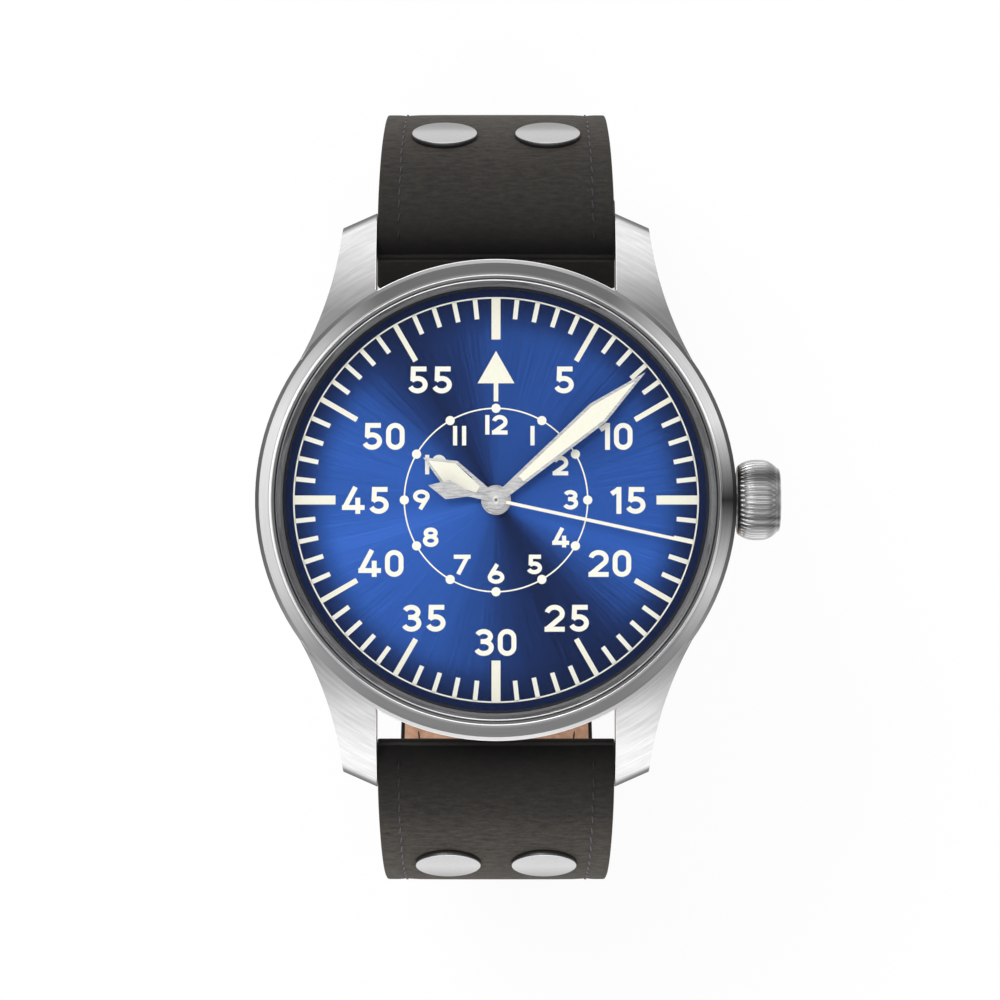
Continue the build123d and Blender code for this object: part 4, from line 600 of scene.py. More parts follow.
# Painted light on the bezel's two polished lines: grey levels by angle round the case
ridge_line_painted_light_levels = {
    -180: 222, -162: 214, -140: 197, -118: 249, -96: 250, -74: 250, -52: 190, -30: 189, -8: 210, 0: 164,
    22: 226, 44: 201, 66: 205, 88: 234, 110: 216, 132: 171, 154: 225, 180: 222,
}
inner_line_painted_light_levels = {
    -180: 137, -140: 140, -118: 203, -96: 250, -74: 205, -52: 185, -30: 140, 0: 137, 22: 145, 44: 203,
    66: 250, 88: 250, 110: 225, 132: 195, 154: 160, 180: 137,
}
# The keys of the next tables are places in mm
# Painted light and shade on the lugs, along Y
lug_painted_light_levels = {
    -26.5: 216, -22.5: 222, -20.5: 214, -19.3: 217, -18.2: 205, -15: 172,
    -12: 124, 0: 80, 12: 100, 15.2: 114, 17.3: 118, 18.4: 140, 19.6: 157,
    20.8: 178, 22.1: 190, 23.5: 203, 26.5: 206,
}
lug_inner_x = 11.0 * mm
lug_tip_slope = 0.468
lug_tip_start = 26.1 * mm
lug_tip_soft = 0.3 * mm
# Painted shade on the lugs' tips
lug_tip_painted_shade = 92
# Painted light on the leather and its thread, along Y: painted shade near the case, lighter farther out
leather_painted_light_levels = {
    -38: 245, -34: 224, -31: 196, -29.2: 154, -27.4: 129, -25.6: 96,
    -23.7: 55, 0: 55, 23.5: 53, 24.8: 85, 26.7: 119, 28.5: 136, 31.0: 147,
    33.5: 172, 35.5: 200, 38: 225,
}
# Painted shade on the rivets' faces: grey levels along Y
rivet_painted_shade_levels = {
    -38: 176, -35.9: 182, -35.3: 212, -34.8: 230, 0: 230, 34.7: 214, 35.1: 205,
    35.4: 172, 35.9: 155, 38: 160,
}
# Painted reflections on the crown: grey levels across it, along Y
crown_painted_reflection_levels = {
    -4.2: 225, -3.2: 225, -2.7: 185, -2.35: 105, -2.05: 185, -1.65: 105,
    -1.3: 175, -0.7: 165, 0: 200, 0.7: 180, 1.3: 200, 1.9: 125, 2.4: 105,
    2.9: 170, 3.3: 222, 4.2: 225,
}
# Painted shade along the crown, along X
crown_end_painted_shade_levels = {22.1: 255, 22.7: 248, 23.3: 218, 25.0: 232, 26.2: 255}
# Painted shade at the dial's edge: where it starts and where it is darkest
dial_edge_painted_shade_start = 14.5 * mm
dial_edge_painted_shade_end = 18.9 * mm

cream = plain_material("lume_cream", srgb(250, 248, 230), 0.6, grain=9000.0, change=0.03)
print_cream = plain_material("print_cream", srgb(253, 252, 238), 0.6, grain=9000.0, change=0.03)
steel_round = steel_material("steel_round_brushed", 0.6, 0.3, contrast=0.16)
steel_polished = steel_material("steel_polished", 0.95, 0.3, "fine", polished_depth, 0.04)
steel_satin = steel_material("steel_satin", 0.78, 0.45, "fine", turned_depth, 0.04)
steel_crown = crown_material()
rivet_face = rivet_material()
# Painted shade: the rivets' walls are the same steel as their faces, painted darker
rivet_wall = plain_material("rivet_wall", srgb(100, 100, 101), 0.45, metallic=1.0, change=0.08)
steel_x = steel_material("steel_brushed_x", 0.6, 0.28, "x")
steel_hands = steel_material("steel_hands", 0.54, 0.4, "hands", hands_depth, 0.34)
steel_movement = steel_material("movement_nickel", 0.64, 0.3, "x")
brass_gilt = plain_material("movement_gilt", (0.72, 0.5, 0.22), 0.3, metallic=1.0)
ruby = plain_material("pallet_ruby", (0.45, 0.02, 0.07), 0.1)
black_rubber = plain_material("gasket_black", (0.012, 0.012, 0.012), 0.7)
gasket_grey = plain_material("gasket_grey", srgb(126, 126, 127), 0.6, change=0.06)
ring_black = plain_material("ring_black", (0.008, 0.008, 0.008), 0.7)
flange_grey = plain_material("flange_satin", srgb(130, 130, 131), 0.5, change=0.06)
pin_brown = plain_material("pin_brown", srgb(92, 66, 48), 0.5, grain=9000.0, change=0.2)
# The nubuck and its thread carry painted shade and painted light along Y
nubuck = leather_material("leather_nubuck", srgb(56, 55, 52), srgb(98, 91, 84), shaded=True)
thread_grey = leather_material("thread_grey", srgb(98, 98, 104), srgb(126, 126, 134), shaded=True)
lining_tan = leather_material("leather_lining", srgb(168, 126, 100), srgb(206, 166, 140), (900.0, 900.0))
edge_dark = plain_material("leather_edge", srgb(34, 31, 29), 0.75, grain=5000.0, change=0.3)

material_of = {
    "mid_case": case_material(),
    "bezel": bezel_material(),
    "case_back": steel_round,
    "crown": steel_satin,
    "crown_tube": steel_satin,
    "spring_bars": steel_satin,
    "buckle_bar": steel_satin,
    "buckle_frame": steel_x,
    "buckle_tang": steel_x,
    "flange_ring": flange_grey,
    "dial": dial_material(),
    "dial_markers": cream,
    "hour_hand": steel_hands,
    "minute_hand": steel_hands,
    "second_hand": needle_material(),
    "hour_hand_lume": cream,
    "minute_hand_lume": cream,
    "crystal": crystal_material(),
    "crystal_gasket": gasket_grey,
    "case_back_gasket": black_rubber,
    "movement_ring": ring_black,
    "pallet_stones": ruby,
}
gilt_nodes = {
    "fourth_wheel", "third_wheel", "centre_wheel", "mainspring_barrel", "minute_wheel", "hour_wheel",
    "balance_wheel", "impulse_roller",
}
for node_name, node_object in frame["nodes"].items():
    material = material_of.get(node_name, brass_gilt if node_name in gilt_nodes else steel_movement)
    node_object.data.materials.clear()
    node_object.data.materials.append(material)


# Strap leather
def strap_band(name, side, start, end, outer, inner, materials, inset=0.0, round_start=0.0, round_end=0.0,
               tail=0.0, crown=0.0, edge_round=leather_edge_round):
    """A leather layer swept along a strap half, with rounded edges, ends and tail.

    outer and inner are radii of the strap's arcs. crown raises the outer face between its stitched edges.
    """
    across = [-1.0, -0.993, -0.98, -0.965, -0.9, -0.86, -0.82, -0.78, -0.7, -0.5, -0.25, 0.0]
    across = across + [-share for share in reversed(across[:-1])]
    count = max(int((end - start) / band_step), 2)
    distances = [start + (end - start) * n / count for n in range(count + 1)]
    if round_start:
        distances = [start - round_start * math.cos(math.radians(a)) for a in range(6, 90, 12)] + distances
    if round_end:
        distances = distances + [end + round_end * math.sin(math.radians(a)) for a in range(12, 90, 12)]
    if tail:
        distances = distances[:-1] + [end - tail * 0.12 * (1 - n / 8) ** 2 for n in range(9)]
    points = []
    uvs = []
    for distance in distances:
        low, high = inner, outer
        if round_start and distance < start + round_start:
            reach = max(round_start ** 2 - (distance - start) ** 2, 0.0) ** 0.5
            middle = outer - round_start
            blend = smooth_step(distance, start, start + round_start)
            if distance < start:
                low, high = middle - reach, middle + reach
            else:
                low = (middle - round_start) * (1 - blend) + inner * blend
        if round_end and distance > end:
            reach = max(round_end ** 2 - (distance - end) ** 2, 0.0) ** 0.5
            middle = (outer + inner) / 2
            low, high = middle - reach, middle + reach
        height = strap_path(distance, (low + high) / 2)[1]
        half = strap_half_width(height) - inset
        if tail and distance > end - tail:
            half = half - tail + max(tail ** 2 - (distance - end + tail) ** 2, 0.0) ** 0.5
            half = max(half, tail_least)
        rounding = min(edge_round, (high - low) * 0.45)
        for face in (0, 1):
            shares = across if face == 0 else list(reversed(across))
            for share in shares:
                x = share * half
                from_edge = half - abs(x)
                drop = 0.0
                if from_edge < rounding:
                    drop = rounding - (rounding ** 2 - (rounding - from_edge) ** 2) ** 0.5
                radius = high - drop if face == 0 else low + drop * underside_round_share
                if crown and face == 0:
                    pad = smooth_step(from_edge, pad_start, pad_end)
                    groove = math.exp(-((from_edge - stitch_inset) / groove_reach) ** 2)
                    radius += crown * pad - stitch_groove * groove + strap_swell(side, distance)
                u, w = strap_path(distance, radius)
                points.append((x, side * u, w))
                uvs.append((x, distance))
    ring = 2 * len(across)
    faces = []
    face_materials = []
    for n in range(len(distances) - 1):
        for k in range(ring):
            following = (k + 1) % ring
            quad = (n * ring + k, n * ring + following, (n + 1) * ring + following, (n + 1) * ring + k)
            faces.append(quad if side < 0 else quad[::-1])
            is_edge = k in (len(across) - 1, ring - 1) or k % len(across) in (0, len(across) - 2)
            face_materials.append(1 if is_edge and len(materials) > 1 else 0)
    first = tuple(range(ring))
    last = tuple((len(distances) - 1) * ring + k for k in range(ring))
    faces.append(first[::-1] if side < 0 else first)
    faces.append(last if side < 0 else last[::-1])
    face_materials += [1 if len(materials) > 1 else 0] * 2
    return new_object(name, mesh_of(name, points, uvs, faces, face_materials), materials)


def cut_away(obj, cutters):
    """Subtracts closed meshes from an object."""
    for cutter in cutters:
        modifier = obj.modifiers.new("cut", "BOOLEAN")
        modifier.operation = "DIFFERENCE"
        modifier.solver = "EXACT"
        modifier.object = cutter
    apply_modifiers(obj)
    for cutter in cutters:
        bpy.data.objects.remove(cutter)


def strap_frame(side, distance, radius):
    """A matrix at a place on a strap half: X across, Y along it and Z out of its surface."""
    u, w = strap_path(distance, radius)
    u_out, w_out = strap_path(distance, radius + mm)
    outward = Vector((0, side * (u_out - u), w_out - w)).normalized()
    across = Vector((1, 0, 0))
    along = outward.cross(across)
    matrix = Matrix((across, along, outward)).transposed().to_4x4()
    matrix.translation = (0, side * u, w)
    return matrix


def drill(side, distance):
    """A rod through a strap half, for one of its holes."""
    bm = bmesh.new()
    bmesh.ops.create_cone(
        bm, cap_ends=True, segments=28, radius1=strap_hole_radius, radius2=strap_hole_radius,
        depth=4 * strap_thickness, matrix=strap_frame(side, distance, strap_middle_radius),
    )
    return object_from(bm, "drill", [])


def slot_cutter():
    """A block as wide as the tang's slot at the buckle end of the 12 o'clock half."""
    bm = bmesh.new()
    matrix = strap_frame(1, short_length, strap_middle_radius)
    bmesh.ops.create_cube(bm, size=1.0)
    length = tang_slot_length + slot_past_end
    scale = Matrix.Diagonal((tang_slot_width, length, 4 * strap_thickness, 1.0))
    towards_tip = strap_frame(1, short_length + mm, strap_middle_radius).translation - matrix.translation
    sign = 1 if towards_tip.dot(matrix.col[1].xyz) > 0 else -1
    ahead = Matrix.Translation((0, sign * (slot_past_end - tang_slot_length) / 2, 0))
    bmesh.ops.transform(bm, matrix=matrix @ ahead @ scale, verts=bm.verts)
    return object_from(bm, "slot", [])


def stitches(name, side, start, end, radius):
    """A row of short slanted stitches down each edge of a strap half, as one piece."""
    bm = bmesh.new()
    count = int((end - start) / stitch_pitch)
    size = Matrix.Diagonal((*stitch_size, 1.0))
    for n in range(count):
        distance = start + (n + 0.5) * (end - start) / count
        swell = strap_swell(side, distance) if radius > strap_middle_radius else 0.0
        if distance < 0:
            swell = (roll_radius ** 2 - distance ** 2) ** 0.5 - roll_radius
        matrix = strap_frame(side, distance, radius + swell)
        half = strap_half_width(matrix.translation[2]) - stitch_inset
        for edge in (-1, 1):
            turn = Matrix.Rotation(math.radians(stitch_slant * edge), 4, "Z")
            across, along = (random.uniform(-reach, reach) for reach in stitch_tweak)
            place = matrix @ Matrix.Translation((edge * half + across, along, 0)) @ turn @ size
            bmesh.ops.create_uvsphere(bm, u_segments=8, v_segments=6, radius=1.0, matrix=place)
    return object_from(bm, name, [thread_grey])


def make_strap_half(number, side, end, lining_end, thread_ends, round_end=0.0, tail=0.0):
    """One half of the strap: its leather, its lining, and the thread on its outer and inner face."""
    body = f"strap_{number}"
    leather = strap_band(
        f"leather_{number}", side, 0.0, end, strap_outer_radius, strap_inner_radius, [nubuck, edge_dark],
        round_start=roll_radius, round_end=round_end, tail=tail, crown=strap_crown,
    )
    lining = strap_band(
        f"lining_{number}", side, lining_start, lining_end, lining_radius, strap_inner_radius - lining_stand,
        [lining_tan], inset=lining_inset, tail=max(tail - lining_inset, 0.0), edge_round=lining_edge_round,
    )
    if side > 0:
        cut_away(leather, [slot_cutter()])
    else:
        for layer in (leather, lining):
            cut_away(layer, [drill(side, place) for place in strap_hole_places])
    hand_over(leather, body, body)
    hand_over(lining, body, body + "_lining")
    outer = strap_outer_radius - outer_thread_depth
    inner = strap_inner_radius - inner_thread_depth
    outer_end, inner_end = thread_ends
    threads = [
        stitches(f"stitches_{number}", side, outer_thread_start, outer_end, outer),
        stitches(f"inner_stitches_{number}", side, inner_thread_start, inner_end, inner),
    ]
    for thread in threads:
        hand_over(thread, body)


# Rivets: low domed faces on a short wall, standing on the leather, with flat caps inside the loop
rivet_tilt = math.radians(67.7)
rivet_distance = (rivet_tilt - start_tilt) * strap_middle_radius
rivet_radius = 3.1 * mm
rivet_wall_height = 0.45 * mm
rivet_dome = 0.28 * mm
rivet_edge = 0.14 * mm
rivet_seat = 0.2 * mm
rivet_cap_radius = 1.9 * mm
rivet_cap_thickness = 0.35 * mm
rivet_spacing_12 = 9.8 * mm
rivet_spacing_6 = 9.1 * mm
rivet_shift_12 = 0.5 * mm
rivet_shift_6 = 0.9 * mm


def lathe(bm, profile, matrix, sides=96):
    """Turns a profile of (radius, height, material) about a matrix's Z."""
    rings = []
    for radius, height, _ in profile:
        places = [polar(radius, 360 * k / sides) for k in range(sides if radius else 1)]
        rings.append([bm.verts.new(matrix @ Vector((x, y, height))) for x, y in places])
    join_rings(bm, rings, [index for _, _, index in profile[1:]])


def make_rivets(node, body, side, spacing, shift):
    """A pair of rivets; shift is how far their faces stand towards the case, as in the photograph."""
    wall_top = rivet_wall_height - rivet_edge
    head = [(0.0, -rivet_seat, 1), (rivet_radius, -rivet_seat, 1), (rivet_radius, wall_top, 1)]
    for n in range(1, 5):
        turn = math.radians(90 * n / 4)
        out = rivet_radius - rivet_edge * (1 - math.cos(turn))
        head.append((out, rivet_wall_height - rivet_edge * (1 - math.sin(turn)), 1 if n < 3 else 0))
    flat_radius = rivet_radius - rivet_edge
    for n in range(11, -1, -1):
        share = n / 12
        head.append((flat_radius * share, rivet_wall_height + rivet_dome * (1 - share ** 2), 0))
    cap = [
        (0.0, 0.0, 1), (rivet_cap_radius, 0.0, 1), (rivet_cap_radius, rivet_cap_thickness, 1),
        (0.0, rivet_cap_thickness, 1),
    ]
    bm = bmesh.new()
    for edge in (-1, 1):
        aside = Matrix.Translation((edge * spacing / 2, 0, 0))
        lathe(bm, head, strap_frame(side, rivet_distance - shift, strap_outer_radius) @ aside)
        lathe(bm, cap, strap_frame(side, rivet_distance, strap_inner_radius) @ aside)
    hand_over(object_from(bm, node + "_domed", [rivet_face, rivet_wall]), body, node)


make_strap_half(
    12, 1, short_length, short_length - lining_short_of_buckle, thread_ends_12, round_end=end_roll_radius,
)
make_strap_half(6, -1, long_length, long_length - lining_short_of_tail, thread_ends_6, tail=tail_round)
make_rivets("rivets_12", "strap_12", 1, rivet_spacing_12, rivet_shift_12)
make_rivets("rivets_6", "strap_6", -1, rivet_spacing_6, rivet_shift_6)


# Keepers: leather bands round the strap, with softly rounded edges
keeper_length = 5.0 * mm
keeper_thickness = 1.2 * mm
keeper_room = 3.6 * mm
keeper_edge_round = 0.35 * mm
fixed_keeper_corners = (0.25 * mm, 0.4 * mm)
floating_keeper_corners = (1.0 * mm, 2.2 * mm)
fixed_keeper_fullness = 0.33 * mm
leather_gap = 0.3 * mm


def rounded_loop(half_width, half_height, corner, steps=8):
    """Points round a rectangle with round corners, and the outward direction at each."""
    loop = []
    for n, (sign_x, sign_y) in enumerate(((1, 1), (-1, 1), (-1, -1), (1, -1))):
        for k in range(steps + 1):
            angle = math.radians(90 * n + 90 * k / steps)
            out = (math.cos(angle), math.sin(angle))
            x = sign_x * (half_width - corner) + corner * out[0]
            y = sign_y * (half_height - corner) + corner * out[1]
            loop.append(((x, y), out))
    return loop


def make_keeper(node, body, distance, inner_width, inner_corner, outer_corner):
    centre = strap_inner_radius - leather_gap + (strap_thickness + keeper_room) / 2
    place = strap_frame(1, distance, centre)
    half_width = inner_width / 2
    half_height = (strap_thickness + keeper_room) / 2
    inner = rounded_loop(half_width, half_height, inner_corner)
    outer = rounded_loop(half_width + keeper_thickness, half_height + keeper_thickness, outer_corner)
    section = rounded_loop(keeper_thickness / 2, keeper_length / 2, keeper_edge_round, 3)
    points = []
    uvs = []
    for ((x, z), _), ((outer_x, outer_z), _) in zip(inner, outer):
        for (thick, along), _ in section:
            share = thick / keeper_thickness + 0.5
            points.append(place @ Vector((x + (outer_x - x) * share, along, z + (outer_z - z) * share)))
            uvs.append((x + along / 4, z + along))
    ring = len(section)
    faces = []
    for n in range(len(inner)):
        here, there = n * ring, (n + 1) % len(inner) * ring
        for k in range(ring):
            k_next = (k + 1) % ring
            faces.append((here + k, here + k_next, there + k_next, there + k))
    name = node + "_leather"
    hand_over(new_object(name, mesh_of(name, points, uvs, faces), [nubuck]), body, node)


fixed_keeper_step = 5.5 * mm
floating_keeper_step = 13 * mm
floating_keeper_slack = 0.6 * mm
fixed_keeper_width = strap_width + 2 * (leather_gap + fixed_keeper_fullness)
floating_keeper_width = strap_end_width + 2 * floating_keeper_slack
fixed_keeper_place = short_length - fixed_keeper_step
floating_keeper_place = short_length - floating_keeper_step
make_keeper("fixed_keeper", "strap_12", fixed_keeper_place, fixed_keeper_width, *fixed_keeper_corners)
make_keeper(
    "floating_keeper", "floating_keeper", floating_keeper_place, floating_keeper_width,
    *floating_keeper_corners,
)

# Crown: rounded lengthwise ridges that follow its bulge and run out before its smooth ends
crown_ridges = 46
crown_ridge_depth = 0.24 * mm
crown_seat_radius = 3.15 * mm
crown_face_radius = 2.95 * mm
crown_face_round = 0.45 * mm
crown_tube_room = 1.36 * mm
crown_recess_depth = 1.7 * mm
stem_room = 0.6 * mm
stem_depth = 1.2 * mm
crown_seat_step = 0.15 * mm
crown_seat_lift = 0.06 * mm
crown_end_length = crown_face_round * 0.6


def make_crown():
    centre_z = (crown_low[2] + crown_high[2]) / 2
    length = crown_high[0] - crown_low[0]
    widest = (crown_high[2] - crown_low[2]) / 2
    # Each station: distance along the crown, radius and depth of the ridges there
    stations = [
        (crown_recess_depth + stem_depth, 0.0, 0.0),
        (crown_recess_depth + stem_depth, stem_room, 0.0),
        (crown_recess_depth, stem_room, 0.0),
        (crown_recess_depth, crown_tube_room, 0.0),
        (0.0, crown_tube_room, 0.0),
        (0.0, crown_seat_radius - crown_seat_step, 0.0),
    ]
    steps = 26
    for n in range(steps + 1):
        share = n / steps
        arch = 1 - abs(2 * share - 1) ** 2.6
        end_radius = crown_seat_radius + (crown_face_radius - crown_seat_radius) * share
        radius = end_radius + (widest - end_radius) * arch
        fade = smooth_step(share, 0.03, 0.13) * smooth_step(1 - share, 0.05, 0.17)
        reach = (length - crown_end_length) * share + crown_seat_lift * (1 - share)
        stations.append((reach, radius, crown_ridge_depth * fade))
    for n in range(1, 7):
        angle = math.radians(15 * n)
        radius = crown_face_radius - crown_face_round * (1 - math.cos(angle))
        stations.append((length - crown_end_length * (1 - math.sin(angle)), radius, 0.0))
    stations.append((length, 0.0, 0.0))
    per_ridge = 8
    around = crown_ridges * per_ridge
    bm = bmesh.new()
    rings = []
    for reach, radius, depth in stations:
        ring = []
        for k in range(around if radius else 1):
            lobe = abs(math.cos(math.pi * (k % per_ridge) / per_ridge)) ** 0.6
            y, z = polar(radius - depth * (1 - lobe), 360 * k / around)
            ring.append(bm.verts.new((crown_low[0] + reach, y, centre_z + z)))
        rings.append(ring)
    join_rings(bm, rings)
    hand_over(object_from(bm, "crown_ridged", [steel_crown]), "crown", "crown")


make_crown()

# Polished edges: thin lines along the bezel's ridges, round the hub's pin and round the lugs' gaps
polished_edge = 0.055 * mm
pin_ring_radius = 0.27 * mm
pin_ring_edge = 0.05 * mm


def edge_ring(name, radius, height, thickness, material, body, rounds=240):
    """A ring of round section about +Z."""
    bm = bmesh.new()
    rings = []
    for n in range(rounds):
        ring = []
        for k in range(8):
            out, up = polar(thickness, 45 * k)
            ring.append(bm.verts.new((*polar(radius + out, 360 * n / rounds), height + up)))
        rings.append(ring)
    join_rings(bm, rings + rings[:1])
    hand_over(object_from(bm, name, [material]), body)


case_edge_radius = 21.95 * mm
edge_line = 0.045 * mm
gap_corner = 0.35 * mm
gap_arc_half = 59.5


def gap_edge_points(side):
    """Places round the gap between two lugs: down one lug, along the case and up the other one."""
    x = lug_inner_x + edge_line
    reach_low = case_edge_radius * math.sin(math.radians(gap_arc_half))
    places = [(x, lug_tip_start - n * (lug_tip_start - reach_low - gap_corner) / 16) for n in range(17)]
    arc = [polar(case_edge_radius, gap_arc_half + 2 + (88 - gap_arc_half) * n / 20) for n in range(21)]
    corner_start, corner_end = Vector(places[-1]), Vector(arc[0])
    control = Vector((x, reach_low))
    for n in range(1, 6):
        share = n / 6
        bent = corner_start * (1 - share) ** 2 + control * 2 * share * (1 - share) + corner_end * share ** 2
        places.append(tuple(bent))
    half = places + arc
    whole = half + [(-px, py) for px, py in reversed(half[:-1])]
    return [(px, side * py) for px, py in whole]


def edge_tube(name, places):
    """A thin polished line laid on the case's upper surface."""
    case = frame["nodes"]["mid_case"]
    down = Vector((0, 0, -1))
    above = 2 * bezel_top
    points = []
    for x, y in places:
        hit, place, *_ = case.ray_cast(Vector((x, y, above)), down)
        if hit:
            points.append(Vector((x, y, place.z - edge_line / 2)))
    bm = bmesh.new()
    rings = []
    for n, point in enumerate(points):
        along = (points[min(n + 1, len(points) - 1)] - points[max(n - 1, 0)]).normalized()
        aside = along.cross(down).normalized()
        upward = aside.cross(along)
        section = [polar(edge_line, 60 * k) for k in range(6)]
        rings.append([bm.verts.new(point + aside * out + upward * up) for out, up in section])
    join_rings(bm, rings)
    bm.faces.new(rings[0])
    bm.faces.new(rings[-1][::-1])
    hand_over(object_from(bm, name, [steel_polished]), "case")


edge_tube("gap_edge_12", gap_edge_points(1))
edge_tube("gap_edge_6", gap_edge_points(-1))
ridge_height = bezel_top - polished_edge / 4
ridge_line = line_material("steel_ridge_line", ridge_line_painted_light_levels)
inner_line = line_material("steel_inner_line", inner_line_painted_light_levels)
edge_ring("bezel_ridge_line", bezel_ridge_radius, ridge_height, polished_edge, ridge_line, "case")
edge_ring("bezel_inner_line", bezel_inner_radius, ridge_height, polished_edge, inner_line, "case")
edge_ring("pin_ring", pin_ring_radius, seconds_top, pin_ring_edge, steel_polished, "seconds", 40)

# Dial print: minute track, inner hour circle with its dots, and plain numerals
print_height = 0.02 * mm
print_lift = 0.004 * mm
print_base = dial_top + print_lift
print_step = 0.003 * mm
minute_circle = 18.45 * mm
minute_circle_width = 0.14 * mm
minute_bar_length = 1.87 * mm
minute_bar_width = 0.42 * mm
hour_circle = 8.37 * mm
hour_circle_width = 0.13 * mm
hour_dot_radius = 0.42 * mm
hour_bar_width = 0.48 * mm
hour_bar_foot = 14.65 * mm
hour_bar_start = 15.05 * mm
# Painted shadow: a thin black ring on the dial where the gap under the flange is dark
dial_edge_shadow_radius = 19.34 * mm
dial_edge_shadow_width = 0.22 * mm


def plates(name, outlines, low, material, body):
    """Flat plates on one base, each given by its outline and the height of its top, as one piece."""
    bm = bmesh.new()
    for outline, top in outlines:
        lower = [bm.verts.new((x, y, low)) for x, y in outline]
        upper = [bm.verts.new((x, y, top)) for x, y in outline]
        bm.faces.new(upper)
        bm.faces.new(lower[::-1])
        for n in range(len(outline)):
            following = (n + 1) % len(outline)
            bm.faces.new((lower[n], lower[following], upper[following], upper[n]))
    piece = object_from(bm, name, [material], smooth=False)
    hand_over(piece, body)
    return piece


def printed(name, outlines, material):
    """Thin raised shapes on the dial, each with its depth: crossing strokes differ by a hair in height."""
    tops = [(outline, print_base + print_height - depth * print_step) for outline, depth in outlines]
    plates(name, tops, print_base, material, "case")


def circle_line(radius, width, segments=360):
    """The quads of a thin circle."""
    quads = []
    for n in range(segments):
        first, second = 360 * n / segments, 360 * (n + 1) / segments
        near, far = radius - width / 2, radius + width / 2
        quads.append([polar(near, first), polar(far, first), polar(far, second), polar(near, second)])
    return quads


def bar(angle, start, end, width):
    """A bar between two distances from the centre, at an angle clockwise from 12 o'clock."""
    out = Vector(polar(1.0, 90 - angle))
    aside = Vector((-out.y, out.x)) * width / 2
    near, far = out * start, out * end
    return [tuple(near - aside), tuple(far - aside), tuple(far + aside), tuple(near + aside)]


def disc(radius, centre=(0.0, 0.0)):
    return [(centre[0] + x, centre[1] + y) for x, y in (polar(radius, 15 * k) for k in range(24))]


def bow(centre, reach, start, end, steps=18):
    """Points along an elliptical arc, from one angle to another."""
    turn = (end - start) / steps
    angles = [math.radians(start + turn * n) for n in range(steps + 1)]
    return [(centre[0] + reach[0] * math.cos(a), centre[1] + reach[1] * math.sin(a)) for a in angles]


minute_digit_widths = {"0": 0.69, "1": 0.4, "4": 0.84}
hour_digit_widths = {"0": 0.74, "4": 0.86, "6": 0.85, "9": 0.85, "7": 0.86}


def digit_strokes(digit, weight, plain_one):
    """A numeral's width and the centre lines of its strokes, for a height of 1."""
    inset = weight / 2
    if plain_one:
        width = hour_digit_widths.get(digit, 0.8)
    else:
        width = minute_digit_widths.get(digit, 0.75)
    middle, half = width / 2, width / 2 - inset
    top, waist = 1 - inset, 0.535
    if digit == "0":
        side = half * 0.98
        upper = bow((middle, top - side), (half, side), 0, 180)
        lower = bow((middle, inset + side), (half, side), 180, 360)
        return width, [upper + lower + upper[:1]]
    if digit == "1":
        if plain_one:
            return weight, [[(inset, 0), (inset, 1)]]
        flag = [(inset * 0.4, 0.745), (width - inset, 0.925)]
        return width, [[(width - inset, 0), (width - inset, 1)], flag]
    if digit == "2":
        arc = bow((middle, top - half * 0.84), (half, half * 0.84), 168, -36)
        foot = [arc[-1], (inset * 1.25, inset * 1.3)]
        return width, [arc + foot[1:], [(0, inset), (width, inset)]]
    if digit == "3":
        upper = bow((middle, (top + waist) / 2), (half * 0.88, (top - waist) / 2), 158, -90)
        lower = bow((middle, (inset + waist) / 2), (half, (waist - inset) / 2), 90, -158)
        return width, [upper, lower, [(middle - half * 0.4, waist), (middle + half * 0.1, waist)]]
    if digit == "4":
        crossing, post = 0.235, 0.7 * width
        diagonal = [(0.6 * width, 1.0), (inset * 1.1, crossing)]
        return width, [diagonal, [(0, crossing), (width, crossing)], [(post, 0), (post, 0.6)]]
    if digit == "5":
        roof = [(0.13, top), (width - inset / 2, top)]
        bowl = bow((middle, 0.325), (half, 0.325 - inset), 140, -160)
        left = 0.13 + inset
        return width, [roof, [(left, 1), (left - 0.02, 0.46)], bowl]
    if digit == "7":
        return width, [[(0, top), (width, top)], [(width - inset * 1.25, 0.96), (0.26 * width, 0)]]
    if digit == "8":
        upper = bow((middle, (top + waist) / 2), (half * 0.86, (top - waist) / 2), 0, 360, 32)
        lower = bow((middle, (inset + waist) / 2), (half, (waist - inset) / 2), 0, 360, 32)
        return width, [upper, lower]
    reach = 0.335 - inset
    bowl = bow((middle, 0.335), (half, reach), 0, 360, 32)
    stem = [
        (middle - half * 0.9, 0.335 + reach * 0.44), (middle - half * 0.55, 0.62), (middle + half * 0.2, 1.0),
    ]
    strokes = [bowl, stem]
    if digit == "9":
        strokes = [[(width - x, 1 - y) for x, y in stroke] for stroke in strokes]
    return width, strokes


def ribbon(points, width):
    """Outlines of the quads along a line, as wide as its stroke and mitred at its corners."""
    closed = math.dist(points[0], points[-1]) < width / 100
    if closed:
        points = points[:-1]
    count = len(points)
    sides = []
    for n, point in enumerate(points):
        before = Vector(points[n - 1]) if n or closed else None
        after = Vector(points[(n + 1) % count]) if n < count - 1 or closed else None
        here = Vector(point)
        coming = (here - before).normalized() if before else (after - here).normalized()
        going = (after - here).normalized() if after else coming
        along = (coming + going).normalized()
        aside = Vector((-along.y, along.x)) * width / 2
        aside /= max(along.dot(going), 0.6)
        sides.append((here - aside, here + aside))
    last = count if closed else count - 1
    quads = []
    for n in range(last):
        (right, left), (next_right, next_left) = sides[n], sides[(n + 1) % count]
        quads.append([right, next_right, next_left, left])
    return quads


